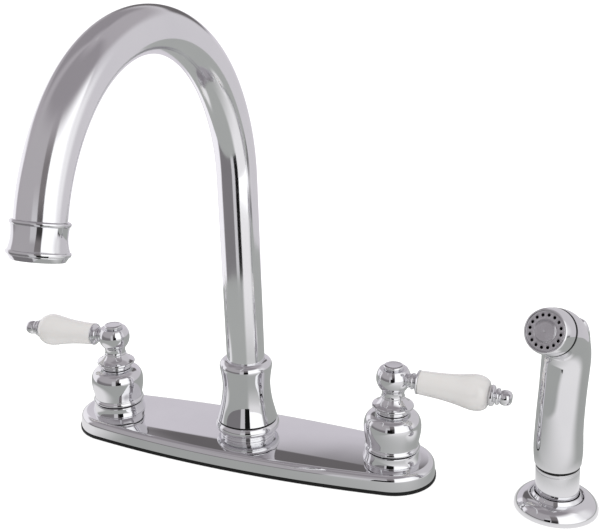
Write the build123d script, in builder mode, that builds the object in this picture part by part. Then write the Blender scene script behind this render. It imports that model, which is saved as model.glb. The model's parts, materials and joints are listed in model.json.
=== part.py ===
from build123d import *
import os
from math import atan2, cos, radians, sin

# Two-handle kitchen faucet with a gooseneck spout, porcelain levers and a side spray in its holder.
# Frame: Z up, z = 0 is the top of the sink deck, X runs along the deck plate, the user stands on the -Y
# side, and the spout's turning axis is the Z axis. Millimetres.

# Deck plate and gasket
HANDLE_X = 101.6            # half of the 8 in. handle spacing
PLATE_END_R = 28.95         # round ends of the plate
PLATE_END_X = 101.2         # centres of the round ends
PLATE_HALF_WIDTH = 36.0
GASKET_BAND = 9.0           # width of the gasket's band
GASKET_TOP = 2.2
PLATE_TOP = 12.4
PLATE_DRAFT = 6.0           # degrees, slope of the plate's side wall
PLATE_INSET = 0.45          # the gasket shows this much around the plate
PLATE_SHOULDER_R = 7.0
PLATE_WALL = 2.3            # thickness of the plate's top
PLATE_RIM = 4.0             # from the gasket's outline to the pocket in the plate
VALVE_HOLE_R = 12.3
SPOUT_HOLE_R = 12.4

# Valve bodies, cross tubes and what clamps them under the deck
SHANK_R = 10.4              # 1/2-14 straight pipe thread
SHANK_BOTTOM = -52.0
THREAD_RELIEF_Z = -31.0
THREAD_RELIEF_R = 9.6
THREAD_RELIEF_WIDTH = 1.2
DRUM_R = 14.6               # the valve's water chamber inside the plate
DRUM_BASE = 0.5
DRUM_TOP = 9.7
NECK_R = 11.8
NECK_TOP = 31.0
CARTRIDGE_SEAT = -2.0
CARTRIDGE_BORE_R = 8.6
INLET_R = 6.2
INLET_TOP = -6.0
PORT_R = 3.0
SEAT_HOLE_R = 3.4
TUBE_R = 4.0                # 5/16 in. copper tube
TUBE_BORE_R = 3.2
TUBE_Z = 5.2
TUBE_FIT = 0.05
VALVE_SOCKET = 9.4          # from the valve's axis to the end of the tube
CENTER_SOCKET = 8.0
WASHER_R = 18.0
WASHER_TOP = -10.0          # underside of the sink deck
WASHER_THICKNESS = 1.6
NUT_R = 19.0                # across corners
NUT_HEIGHT = 8.0
NUT_FIT = 0.05

# Centre body: spout post above the deck, spray outlet below it
POST_R = 11.4
POST_TOP = 42.0
POST_BORE_R = 7.2
STEM_R = 9.5
STEM_BOTTOM = -28.0
NIPPLE_R = 6.6              # 1/4-18 straight pipe thread
NIPPLE_BOTTOM = -44.0
NIPPLE_BORE_R = 3.0
DIVERTER_BORE_R = 5.6
DIVERTER_SEAT = -10.0
DIVERTER_BORE_TOP = 10.0
SPOOL_R = 5.5
SPOOL_STEM_R = 2.2
SPOOL_LAND = 3.0
SPOOL_BOTTOM = -9.6
SPOOL_TOP = 4.0
RING_GROOVES_Z = (31.2, 37.2)
RING_GROOVE_R = 10.25
RING_GROOVE_WIDTH = 2.2
RING_SECTION_R = 0.85

# Handle trim, from the plate up
BASE_RING_FOOT_R = 18.6
BASE_RING_TOP_R = 17.4
BASE_RING_TOP = 19.2
SEAL_R = 16.6
SEAL_TOP = 20.1
BELL_LIP_R = 17.7
BELL_LIP_TOP = 22.6
BELL_WAIST_R = 16.7
BELL_WAIST_Z = 24.4
BELL_R = 18.3
BELL_WIDEST_Z = 34.8
BELL_TOP_R = 11.0
BELL_TOP = 44.6
BELL_CAVITY_R = 14.2
CARTRIDGE_R = 8.5
CARTRIDGE_HEX_R = 11.2
CARTRIDGE_TOP = 37.0
DISC_R = 7.2
DISC_THICKNESS = 3.0
DISC_CHAMBER_R = 7.5
STEM_FLANGE_R = 6.8
STEM_TURN_R = 4.1
STEM_BORE_R = 4.2
STEM_TOP = 62.0

# Handle hub: skirt rings, flared saucer, neck, ball and index button
HUB_BASE = 44.95
HUB_RING_R = 10.8
HUB_RING_TOP = 47.0
HUB_GROOVE_R = 9.9
SAUCER_R = 13.3
SAUCER_BASE = 48.3
SAUCER_RIM_TOP = 49.9
COLLAR_R = 7.6
COLLAR_Z = 54.8
COLLAR_TOP = 55.8
NECK_MIN_R = 7.2
NECK_MIN_Z = 58.0
BALL_R = 10.85
BALL_Z = 67.95
BALL_LOW_DEPTH = 7.9        # below the ball's centre, where the neck runs into it
BALL_CUT_TOP = 74.4
BUTTON_R = 6.5
BUTTON_TOP = 76.8
BUTTON_PLUG_R = 4.5
SCREW_SEAT = 68.0
SCREW_R = 2.0
SCREW_HEAD_R = 3.8
SCREW_HEAD = 2.4
SCREW_LENGTH = 14.0
SCREW_CROSS = 4.6           # cross recess: length, width, depth
SCREW_CROSS_WIDTH = 0.9
SCREW_CROSS_DEPTH = 1.3
TAP_DEPTH = 10.0            # of the stem's screw hole

# Levers, measured along their axis from the ball's centre
LEVER_DROP = 2.0            # degrees, the levers slope down a little
FERRULE_START = 9.8
FERRULE_END = 16.6
PORCELAIN_END = 59.8
FINIAL_END = 73.4
FERRULE_NECK_R = 4.4
FERRULE_GROOVE = ((11.2, 3.8), (11.6, 3.8))         # distance out, radius, here and below
FERRULE_BEAD = ((11.8, 5.0), (12.5, 5.4), (13.2, 5.0))
FERRULE_WAIST = ((13.4, 4.5), (13.8, 4.5))
FERRULE_FLARE = ((13.8, 4.5), (14.6, 5.4), (15.2, 7.2))
FERRULE_RIM_R = 7.2
FERRULE_RIM_BULGE = (15.9, 7.8)
PORCELAIN_FOOT = (17.0, 7.6)
PORCELAIN_SWELL = ((24.0, 7.8), (33.0, 8.45), (42.0, 9.75), (51.3, 11.15), (57.2, 10.0))
PORCELAIN_EDGE = (59.3, 7.9)
PORCELAIN_END_R = 6.2
FINIAL_BEAD = ((PORCELAIN_END, 5.8), (61.4, 6.7), (63.0, 5.8))
FINIAL_GROOVE = ((63.4, 4.3), (63.9, 4.3))
FINIAL_RING = ((64.1, 4.9), (65.0, 5.3), (65.9, 4.9))
FINIAL_KNOB = ((66.3, 3.7), (69.6, 4.8), (72.9, 3.0))
FINIAL_TIP_R = 2.0
ROD_R = 2.0
ROD_START = 5.6
ROD_END = 68.0
ROD_FIT = 0.1

# Spout
SPOUT_TURN = 3.8            # degrees, the spout points this far towards the left handle
SPOUT_R = 12.6
SPOUT_WALL = 1.2
SPOUT_START = 44.2
SPOUT_LEAN = 1.8            # degrees, the riser leans this much towards the outlet
SPOUT_STRAIGHT_TOP = 68.0
SPOUT_RISER = 118.2         # length of the leaning riser
SPOUT_WIDE_R = 108.4
SPOUT_CROWN_R = 92.0
SPOUT_WIDE_TURN = 32.0
SPOUT_CROWN_TURN = 98.1
SPOUT_LAST_TURN = 33.5
SPOUT_DROP = 1.2            # straight end of the tube above the outlet
BASE_BEAD_R = 21.6
BASE_BEAD_Z = 19.0
BASE_BEAD_TOP = 22.6
FOOT_DISC_R = 18.5
FOOT_DISC_TOP = 13.6
FOOT_GROOVE = (17.9, 14.2)  # radius, height, here and below
BEAD_START = (18.3, 15.6)
SWIVEL_WASHER_TOP = 23.2
COLLAR_START = 23.5
COLLAR_FOOT_R = 20.2
COLLAR_WAIST_R = 16.1
COLLAR_LIP_R = 17.55
COLLAR_END = 66.3
COLLAR_FLARE = ((17.35, 35.5), (COLLAR_WAIST_R, 47.0), (16.6, 55.5), (COLLAR_LIP_R, 61.5))
COLLAR_SHOULDER = (16.6, 64.9)
COLLAR_END_R = 13.4
COLLAR_BORE_R = 12.0
SPOUT_FIT = 0.05

# Outlet, measured along its axis from the end of the bent tube
OUTLET_TOP = -1.4
OUTLET_TOP_R = 13.4
OUTLET_BEAD = (14.35, -0.2)  # radius, distance along the axis, here and below
OUTLET_GROOVE = (13.5, 1.0)
OUTLET_WAIST = (13.3, 6.2)
OUTLET_RIM_START = (14.5, 12.3)
OUTLET_RIM = (15.15, 13.5)
OUTLET_END = 14.6
OUTLET_END_R = 14.4
OUTLET_BORE_R = 12.2
OUTLET_SEAT = 3.0
AERATOR_END = 17.2
AERATOR_LIP_R = 14.1
AERATOR_FACE_R = 12.6
AERATOR_BORE_R = 10.9

# Side spray holder
SPRAY_X = 205.5             # fourth hole of the sink deck
SPRAY_Y = -3.0
SPRAY_FACING = 18.4         # degrees from -Y towards -X that the spray head faces
HOLDER_R = 24.75
HOLDER_TOP = 9.3
HOLDER_FOOT_TOP = 0.8
HOLDER_SLOPE = (22.4, 6.8)  # radius, height
HOLDER_TOP_R = 17.3
HOLDER_LIP_R = 16.3
HOLDER_SHANK_R = 14.2
HOLDER_SHANK_BOTTOM = -32.0
HOLDER_BORE_R = 12.0
LINER_R = 14.55
LINER_RING_R = 15.15
LINER_MOUTH_R = 13.35
LINER_BORE_R = 14.05
LINER_BASE = 2.8
LINER_TOP = 10.9
LINER_STEP_Z = 6.2
LINER_RING_TOP = 8.8

# Side spray, measured along its own leaning axis from the middle of the holder's mouth
SPRAY_LEAN = 6.7            # degrees, towards the nozzle
SPRAY_SEAT_Z = 11.0
SLEEVE_R = 12.8
SLEEVE_BOTTOM = -6.4
SLEEVE_TOP = 20.0
SLEEVE_LINE = 17.0           # fine line turned into the sleeve
SLEEVE_LINE_WIDTH = 0.5
SLEEVE_LINE_DEPTH = 0.3
SPIGOT_R = 8.0
SPIGOT_BOTTOM = -21.0
SWIVEL_R = 8.0
SWIVEL_TOP = 31.0
SWIVEL_FIT = 0.08
HOSE_SOCKET_R = 4.8
HOSE_SOCKET_DEPTH = 13.0
WATER_R = 2.6
SPRAY_SEAL_R = 12.2
GRIP_START = 21.0
GRIP_STRAIGHT = 10.7        # length of the grip before it curves back
GRIP_BACK_R = 168.0
GRIP_BACK_TURN = 9.5        # degrees
GRIP_UPPER = 26.5
HEAD_BEND_R = 23.0
HEAD_BEND_TURN = 73.2       # degrees, leaves the nozzle 19.6 degrees above level
HEAD_TAIL = 4.0
NOZZLE_SPIGOT_R = 11.9
NOZZLE_SPIGOT = 5.0
NOZZLE_GASKET_R = 13.2
NOZZLE_GASKET_T = 0.8
BEZEL_R = 13.45
BEZEL_BARREL = ((6.0, 13.2), (10.6, 12.5))          # distance out, radius
BEZEL_NOSE = (11.4, 12.3)
BEZEL_END_R = 11.8
BEZEL_BORE_R = 11.95
BEZEL_LIP_R = 11.4
BEZEL_LIP = 9.7
BEZEL_END = 11.6
FACE_FRONT = 11.0
FACE_BACK = 8.0
FACE_DISC_R = 5.8
FACE_HOLE_RING_R = 9.0
FACE_HOLE_R = 0.9
FACE_HOLES = 16

# Spray trigger: a curved thumb plate let into the back of the grip
TRIGGER_HALF_WIDTH = 8.4
TRIGGER_PROUD = 2.7         # how far it stands out of the grip
TRIGGER_SUNK = 0.8
TRIGGER_LOW = 75.5
TRIGGER_HIGH = 121.0
WELL_DEPTH = 4.4
WELL_GAP = 0.5
WELL_FOOT_GAP = 1.3
PIVOT_HEADING = 31.0        # degrees of lean of the bent centre line where the pin sits
PIVOT_DEPTH = 8.0
PIN_R = 1.2
PIN_HALF_LENGTH = 10.3
LUG_START = 5.6
LUG_WIDTH = 2.6
LUG_R = 2.3
LUG_REACH = 5.0
LUG_GAP = 0.4
PLUNGER_AT = 0.6            # place along the upper part of the grip
PLUNGER_R = 2.0
PLUNGER_FIT = 0.08
PLUNGER_IN = 1.5
PLUNGER_OUT = 12.1
PLUNGER_HEAD_R = 3.2
PLUNGER_HEAD = 1.0
SPRING_SEAT = 5.0
SPRING_R = 2.75
SPRING_WIRE = 0.45
SPRING_PITCH = 1.6


def save(piece, name):
    """Label a finished piece and write its STEP file."""
    piece.part.label = name
    export_step(piece.part, f"parts/{name}.step")


def upright(x, y=0.0):
    """Plane for the half section of a piece turned about the vertical through (x, y)."""
    return Plane(origin=(x, y, 0), x_dir=(1, 0, 0), z_dir=(0, -1, 0))


def vertical(x, y=0.0):
    """Vertical turning axis through (x, y)."""
    return Axis((x, y, 0), (0, 0, 1))


def deck_oval(inset):
    """Long oval of the deck plate, moved in by inset: two wide side arcs tangent to two round ends."""
    side_r = (PLATE_END_X**2 + PLATE_HALF_WIDTH**2 - PLATE_END_R**2) / (2 * (PLATE_HALF_WIDTH - PLATE_END_R))
    lean = atan2(PLATE_END_X, side_r - PLATE_HALF_WIDTH)
    end_r = PLATE_END_R - inset
    x, y = PLATE_END_X + end_r * sin(lean), end_r * cos(lean)
    with BuildSketch() as oval:
        with BuildLine():
            ThreePointArc((-x, -y), (0, inset - PLATE_HALF_WIDTH), (x, -y))
            ThreePointArc((x, -y), (PLATE_END_X + end_r, 0), (x, y))
            ThreePointArc((x, y), (0, PLATE_HALF_WIDTH - inset), (-x, y))
            ThreePointArc((-x, y), (-PLATE_END_X - end_r, 0), (-x, -y))
        make_face()
    return oval.sketch


os.makedirs("parts", exist_ok=True)

# ---------------------------------------------------------------- deck plate

with BuildPart() as deck_gasket:
    with BuildSketch():
        add(deck_oval(0))
        add(deck_oval(GASKET_BAND), mode=Mode.SUBTRACT)
    extrude(amount=GASKET_TOP)
save(deck_gasket, "deck_gasket")

with BuildPart() as deck_plate:
    with BuildSketch(Plane.XY.offset(GASKET_TOP)):
        add(deck_oval(PLATE_INSET))
    extrude(amount=PLATE_TOP - GASKET_TOP, taper=PLATE_DRAFT)
    fillet(deck_plate.faces().sort_by(Axis.Z)[-1].edges(), PLATE_SHOULDER_R)
    with BuildSketch(Plane.XY.offset(GASKET_TOP)):
        add(deck_oval(PLATE_RIM))
    extrude(amount=PLATE_TOP - PLATE_WALL - GASKET_TOP, taper=PLATE_DRAFT, mode=Mode.SUBTRACT)
    with Locations((-HANDLE_X, 0, PLATE_TOP), (HANDLE_X, 0, PLATE_TOP)):
        Hole(VALVE_HOLE_R)
    with Locations((0, 0, PLATE_TOP)):
        Hole(SPOUT_HOLE_R)
save(deck_plate, "deck_plate")

# ------------------------------------------------- centre body and diverter

with BuildPart() as center_body:
    with BuildSketch(upright(0)):
        with BuildLine():
            Polyline(
                (0, NIPPLE_BOTTOM), (NIPPLE_R, NIPPLE_BOTTOM), (NIPPLE_R, STEM_BOTTOM), (STEM_R, STEM_BOTTOM),
                (STEM_R, DRUM_BASE), (DRUM_R, DRUM_BASE), (DRUM_R, DRUM_TOP), (POST_R, DRUM_TOP),
                (POST_R, POST_TOP), (0, POST_TOP), close=True,
            )
        make_face()
    revolve(axis=vertical(0))
    with Locations((0, 0, POST_TOP)):
        Hole(POST_BORE_R, depth=POST_TOP - DIVERTER_BORE_TOP)
        Hole(DIVERTER_BORE_R, depth=POST_TOP - DIVERTER_SEAT)
        Hole(NIPPLE_BORE_R)
    with BuildSketch(Plane.YZ.offset(-DRUM_R)):
        with Locations((0, TUBE_Z)):
            Circle(TUBE_R + TUBE_FIT)
    extrude(amount=DRUM_R - CENTER_SOCKET, mode=Mode.SUBTRACT)
    with BuildSketch(Plane.YZ.offset(CENTER_SOCKET)):
        with Locations((0, TUBE_Z)):
            Circle(TUBE_R + TUBE_FIT)
    extrude(amount=DRUM_R - CENTER_SOCKET, mode=Mode.SUBTRACT)
    with BuildSketch(Plane.YZ.offset(-DRUM_R)):
        with Locations((0, TUBE_Z)):
            Circle(TUBE_BORE_R)
    extrude(amount=2 * DRUM_R, mode=Mode.SUBTRACT)
    for groove_z in RING_GROOVES_Z:
        with BuildSketch(Plane.XY.offset(groove_z - RING_GROOVE_WIDTH / 2)):
            Circle(POST_R)
            Circle(RING_GROOVE_R, mode=Mode.SUBTRACT)
        extrude(amount=RING_GROOVE_WIDTH, mode=Mode.SUBTRACT)
save(center_body, "center_body")

with BuildPart() as spout_o_rings:
    for groove_z in RING_GROOVES_Z:
        with BuildSketch(Plane.XZ):
            with Locations((RING_GROOVE_R + RING_SECTION_R, groove_z)):
                Circle(RING_SECTION_R)
        revolve(axis=Axis.Z)
save(spout_o_rings, "spout_o_rings")

with BuildPart() as diverter_spool:
    with BuildSketch(Plane.XY.offset(SPOOL_BOTTOM)):
        Circle(SPOOL_R)
    extrude(amount=SPOOL_LAND)
    with BuildSketch(Plane.XY.offset(SPOOL_BOTTOM)):
        Circle(SPOOL_STEM_R)
    extrude(amount=SPOOL_TOP - SPOOL_BOTTOM)
    with BuildSketch(Plane.XY.offset(SPOOL_TOP - SPOOL_LAND)):
        Circle(SPOOL_R)
    extrude(amount=SPOOL_LAND)
save(diverter_spool, "diverter_spool")

# --------------------------------------------------- valves, one per handle

for side, sign in (("left", -1), ("right", 1)):
    x = sign * HANDLE_X

    with BuildPart() as valve_body:
        with BuildSketch(upright(x)):
            with BuildLine():
                Polyline(
                    (0, SHANK_BOTTOM), (SHANK_R, SHANK_BOTTOM), (SHANK_R, THREAD_RELIEF_Z),
                    (THREAD_RELIEF_R, THREAD_RELIEF_Z), (THREAD_RELIEF_R, THREAD_RELIEF_Z + THREAD_RELIEF_WIDTH),
                    (SHANK_R, THREAD_RELIEF_Z + THREAD_RELIEF_WIDTH), (SHANK_R, DRUM_BASE), (DRUM_R, DRUM_BASE),
                    (DRUM_R, DRUM_TOP), (NECK_R, DRUM_TOP), (NECK_R, NECK_TOP), (0, NECK_TOP), close=True,
                )
            make_face()
        revolve(axis=vertical(x))
        with Locations((x, 0, NECK_TOP)):
            Hole(CARTRIDGE_BORE_R, depth=NECK_TOP - CARTRIDGE_SEAT)
            Hole(SEAT_HOLE_R)
        with BuildSketch(Plane.XY.offset(SHANK_BOTTOM)):
            with Locations((x, 0)):
                Circle(INLET_R)
        extrude(amount=INLET_TOP - SHANK_BOTTOM, mode=Mode.SUBTRACT)
        with BuildSketch(Plane(origin=(x - sign * VALVE_SOCKET, 0, TUBE_Z), z_dir=(-sign, 0, 0))):
            Circle(TUBE_R + TUBE_FIT)
        extrude(amount=DRUM_R, mode=Mode.SUBTRACT)
        with BuildSketch(Plane(origin=(x - sign * DISC_CHAMBER_R, 0, TUBE_Z), z_dir=(-sign, 0, 0))):
            Circle(PORT_R)
        extrude(amount=DRUM_R, mode=Mode.SUBTRACT)
    save(valve_body, f"{side}_valve_body")

    with BuildPart() as cross_tube:
        with BuildSketch(Plane(origin=(x - sign * VALVE_SOCKET, 0, TUBE_Z), z_dir=(-sign, 0, 0))):
            Circle(TUBE_R)
            Circle(TUBE_BORE_R, mode=Mode.SUBTRACT)
        extrude(amount=HANDLE_X - VALVE_SOCKET - CENTER_SOCKET)
    save(cross_tube, f"{side}_cross_tube")

    with BuildPart() as cartridge:
        with BuildSketch(upright(x)):
            with BuildLine():
                Polyline(
                    (DISC_CHAMBER_R, CARTRIDGE_SEAT), (CARTRIDGE_R, CARTRIDGE_SEAT), (CARTRIDGE_R, CARTRIDGE_TOP),
                    (STEM_BORE_R, CARTRIDGE_TOP), (STEM_BORE_R, CARTRIDGE_SEAT + 3 * DISC_THICKNESS),
                    (DISC_CHAMBER_R, CARTRIDGE_SEAT + 3 * DISC_THICKNESS), close=True,
                )
            make_face()
        revolve(axis=vertical(x))
        with BuildSketch(Plane.XY.offset(NECK_TOP)):
            with Locations((x, 0)):
                RegularPolygon(CARTRIDGE_HEX_R, 6)
                Circle(CARTRIDGE_R - 1, mode=Mode.SUBTRACT)
        extrude(amount=CARTRIDGE_TOP - NECK_TOP)
        with BuildSketch(Plane(origin=(x - sign * DISC_CHAMBER_R / 2, 0, TUBE_Z), z_dir=(-sign, 0, 0))):
            Circle(PORT_R)
        extrude(amount=CARTRIDGE_R, mode=Mode.SUBTRACT)
    save(cartridge, f"{side}_cartridge")

    with BuildPart() as fixed_disc:
        with BuildSketch(Plane.XY.offset(CARTRIDGE_SEAT)):
            with Locations((x, 0)):
                Circle(DISC_R)
            with Locations((x - DISC_R / 2, 0), (x + DISC_R / 2, 0)):
                SlotOverall(DISC_R, DISC_R / 2.4, rotation=90, mode=Mode.SUBTRACT)
        extrude(amount=DISC_THICKNESS)
    save(fixed_disc, f"{side}_fixed_disc")

    with BuildPart() as moving_disc:
        with BuildSketch(Plane.XY.offset(CARTRIDGE_SEAT + DISC_THICKNESS + 0.05)):
            with Locations((x, 0)):
                Circle(DISC_R)
                Rectangle(DISC_R, 1.6, mode=Mode.SUBTRACT)
        extrude(amount=DISC_THICKNESS - 0.05)
    save(moving_disc, f"{side}_moving_disc")

    with BuildPart() as stem:
        with BuildSketch(Plane.XY.offset(CARTRIDGE_SEAT + 2 * DISC_THICKNESS)):
            with Locations((x, 0)):
                Circle(STEM_FLANGE_R)
        extrude(amount=DISC_THICKNESS - 0.4)
        with BuildSketch(Plane.XY.offset(CARTRIDGE_SEAT + 2 * DISC_THICKNESS)):
            with Locations((x, 0)):
                Circle(STEM_TURN_R)
        extrude(amount=STEM_TOP - CARTRIDGE_SEAT - 2 * DISC_THICKNESS)
        with Locations((x, 0, STEM_TOP)):
            Hole(SCREW_R - 0.3, depth=TAP_DEPTH)
    save(stem, f"{side}_stem")

    with BuildPart() as base_ring:
        with BuildSketch(upright(x)):
            with BuildLine():
                Polyline((NECK_R + 0.3, PLATE_TOP), (BASE_RING_FOOT_R, PLATE_TOP), (BASE_RING_FOOT_R, PLATE_TOP + 0.8))
                ThreePointArc(
                    (BASE_RING_FOOT_R, PLATE_TOP + 0.8), (BASE_RING_TOP_R + 0.35, PLATE_TOP + 3.2),
                    (BASE_RING_TOP_R + 0.2, BASE_RING_TOP - 0.6),
                )
                Polyline(
                    (BASE_RING_TOP_R + 0.2, BASE_RING_TOP - 0.6), (BASE_RING_TOP_R - 0.4, BASE_RING_TOP),
                    (NECK_R + 0.3, BASE_RING_TOP), (NECK_R + 0.3, PLATE_TOP),
                )
            make_face()
        revolve(axis=vertical(x))
    save(base_ring, f"{side}_base_ring")

    with BuildPart() as bell_seal:
        with BuildSketch(Plane.XY.offset(BASE_RING_TOP)):
            with Locations((x, 0)):
                Circle(SEAL_R)
                Circle(NECK_R + 0.3, mode=Mode.SUBTRACT)
        extrude(amount=SEAL_TOP - BASE_RING_TOP)
    save(bell_seal, f"{side}_bell_seal")

    with BuildPart() as bell:
        with BuildSketch(upright(x)):
            with BuildLine():
                Polyline(
                    (NECK_R + 0.05, SEAL_TOP), (BELL_LIP_R - 0.5, SEAL_TOP), (BELL_LIP_R, SEAL_TOP + 0.5),
                    (BELL_LIP_R - 0.1, BELL_LIP_TOP - 0.4),
                )
                ThreePointArc(
                    (BELL_LIP_R - 0.1, BELL_LIP_TOP - 0.4), (BELL_WAIST_R + 0.15, BELL_LIP_TOP + 0.5),
                    (BELL_WAIST_R, BELL_WAIST_Z),
                )
                Spline(
                    (BELL_WAIST_R, BELL_WAIST_Z), (BELL_R, BELL_WIDEST_Z), (BELL_R - 2.2, BELL_WIDEST_Z + 6.4),
                    (BELL_TOP_R, BELL_TOP), tangents=((0.05, 1), (-1, 0.28)),
                )
                Polyline(
                    (BELL_TOP_R, BELL_TOP), (STEM_TURN_R + 0.5, BELL_TOP), (STEM_TURN_R + 0.5, CARTRIDGE_TOP + 0.3),
                    (CARTRIDGE_HEX_R + 0.5, CARTRIDGE_TOP + 0.3), (BELL_CAVITY_R, BELL_WIDEST_Z),
                    (BELL_CAVITY_R, BELL_WAIST_Z + 1), (NECK_R + 0.05, BELL_WAIST_Z + 1),
                    (NECK_R + 0.05, SEAL_TOP),
                )
            make_face()
        revolve(axis=vertical(x))
    save(bell, f"{side}_bell")

    # ------------------------------------------------ handle hub and lever

    ball = Vector(x, 0, BALL_Z)
    out = Vector(sign * cos(radians(LEVER_DROP)), 0, -sin(radians(LEVER_DROP)))
    lever_plane = Plane(origin=ball, x_dir=out, z_dir=(0, -sign, 0))
    lever_axis = Axis(ball, out)

    with BuildPart() as hub:
        ball_low_z = BALL_Z - BALL_LOW_DEPTH
        ball_low_r = (BALL_R**2 - BALL_LOW_DEPTH**2) ** 0.5
        ball_high_r = (BALL_R**2 - (BALL_CUT_TOP - BALL_Z) ** 2) ** 0.5
        with BuildSketch(upright(x)):
            with BuildLine():
                Polyline((0, HUB_BASE), (HUB_RING_R - 0.5, HUB_BASE))
                ThreePointArc(
                    (HUB_RING_R - 0.5, HUB_BASE), (HUB_RING_R, (HUB_BASE + HUB_RING_TOP) / 2),
                    (HUB_RING_R - 0.5, HUB_RING_TOP),
                )
                Polyline(
                    (HUB_RING_R - 0.5, HUB_RING_TOP), (HUB_GROOVE_R, HUB_RING_TOP), (HUB_GROOVE_R, SAUCER_BASE - 0.5),
                    (SAUCER_R - 0.6, SAUCER_BASE), (SAUCER_R, SAUCER_BASE + 0.5), (SAUCER_R, SAUCER_RIM_TOP - 0.4),
                    (SAUCER_R - 0.5, SAUCER_RIM_TOP),
                )
                ThreePointArc(
                    (SAUCER_R - 0.5, SAUCER_RIM_TOP), (COLLAR_R + 1.3, (SAUCER_RIM_TOP + COLLAR_Z) / 2 - 0.4),
                    (COLLAR_R - 0.5, COLLAR_Z),
                )
                Polyline(
                    (COLLAR_R - 0.5, COLLAR_Z), (COLLAR_R, COLLAR_Z + 0.3), (COLLAR_R, COLLAR_TOP - 0.3),
                    (NECK_MIN_R + 0.2, COLLAR_TOP),
                )
                ThreePointArc(
                    (NECK_MIN_R + 0.2, COLLAR_TOP), (NECK_MIN_R - 0.2, NECK_MIN_Z - 0.6), (ball_low_r, ball_low_z),
                )
                ThreePointArc((ball_low_r, ball_low_z), (BALL_R, BALL_Z), (ball_high_r, BALL_CUT_TOP))
                Polyline((ball_high_r, BALL_CUT_TOP), (0, BALL_CUT_TOP), (0, HUB_BASE))
            make_face()
        revolve(axis=vertical(x))
        with Locations((x, 0, BALL_CUT_TOP)):
            Hole(BUTTON_PLUG_R + 0.05, depth=BALL_CUT_TOP - SCREW_SEAT)
            Hole(SCREW_R + 0.1)
        with Locations((x, 0, HUB_BASE)):
            Cylinder(
                STEM_TURN_R + 0.05, STEM_TOP - HUB_BASE, align=(Align.CENTER, Align.CENTER, Align.MIN),
                mode=Mode.SUBTRACT,
            )
        with BuildSketch(Plane(origin=ball + out * FERRULE_START, z_dir=out)):
            Circle(BALL_R)
        extrude(amount=BALL_R, mode=Mode.SUBTRACT)
        with BuildSketch(Plane(origin=ball + out * ROD_START, z_dir=out)):
            Circle(ROD_R + 0.05)
        extrude(amount=BALL_R, mode=Mode.SUBTRACT)
    save(hub, f"{side}_handle_hub")

    with BuildPart() as hub_screw:
        with BuildSketch(Plane.XY.offset(SCREW_SEAT)):
            with Locations((x, 0)):
                Circle(SCREW_HEAD_R)
        extrude(amount=SCREW_HEAD)
        with BuildSketch(Plane.XY.offset(SCREW_SEAT)):
            with Locations((x, 0)):
                Circle(SCREW_R - 0.3)
        extrude(amount=-SCREW_LENGTH)
        with BuildSketch(Plane.XY.offset(SCREW_SEAT + SCREW_HEAD)):
            with Locations((x, 0)):
                Rectangle(SCREW_CROSS, SCREW_CROSS_WIDTH)
                Rectangle(SCREW_CROSS_WIDTH, SCREW_CROSS)
        extrude(amount=-SCREW_CROSS_DEPTH, mode=Mode.SUBTRACT)
    save(hub_screw, f"{side}_handle_screw")

    with BuildPart() as index_button:
        with BuildSketch(upright(x)):
            with BuildLine():
                Polyline(
                    (0, BALL_CUT_TOP - 3), (BUTTON_PLUG_R, BALL_CUT_TOP - 3), (BUTTON_PLUG_R, BALL_CUT_TOP),
                    (BUTTON_R - 0.7, BALL_CUT_TOP), (BUTTON_R, BALL_CUT_TOP + 0.7), (BUTTON_R, BUTTON_TOP - 0.6),
                )
                ThreePointArc(
                    (BUTTON_R, BUTTON_TOP - 0.6), (BUTTON_R - 0.2, BUTTON_TOP - 0.2), (BUTTON_R - 0.6, BUTTON_TOP),
                )
                Polyline((BUTTON_R - 0.6, BUTTON_TOP), (0, BUTTON_TOP), (0, BALL_CUT_TOP - 3))
            make_face()
        revolve(axis=vertical(x))
    save(index_button, f"{side}_index_button")

    with BuildPart() as ferrule:
        bore = ROD_R + ROD_FIT
        with BuildSketch(lever_plane):
            with BuildLine():
                Polyline(
                    (FERRULE_START, bore), (FERRULE_START, FERRULE_NECK_R), (FERRULE_GROOVE[0][0] - 0.2, FERRULE_NECK_R),
                    *FERRULE_GROOVE, FERRULE_BEAD[0],
                )
                ThreePointArc(*FERRULE_BEAD)
                Polyline(FERRULE_BEAD[2], *FERRULE_WAIST)
                ThreePointArc(*FERRULE_FLARE)
                ThreePointArc(FERRULE_FLARE[2], FERRULE_RIM_BULGE, (FERRULE_END, FERRULE_RIM_R))
                Polyline((FERRULE_END, FERRULE_RIM_R), (FERRULE_END, bore), (FERRULE_START, bore))
            make_face()
        revolve(axis=lever_axis)
    save(ferrule, f"{side}_lever_ferrule")

    with BuildPart() as porcelain:
        bore = ROD_R + 2 * ROD_FIT
        with BuildSketch(lever_plane):
            with BuildLine():
                Polyline((FERRULE_END, bore), (FERRULE_END, FERRULE_RIM_R), PORCELAIN_FOOT)
                Spline(PORCELAIN_FOOT, *PORCELAIN_SWELL, PORCELAIN_EDGE, tangents=((1, 0), (0.35, -1)))
                Polyline(
                    PORCELAIN_EDGE, (PORCELAIN_END, PORCELAIN_END_R), (PORCELAIN_END, bore), (FERRULE_END, bore),
                )
            make_face()
        revolve(axis=lever_axis)
    save(porcelain, f"{side}_porcelain_lever")

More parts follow.
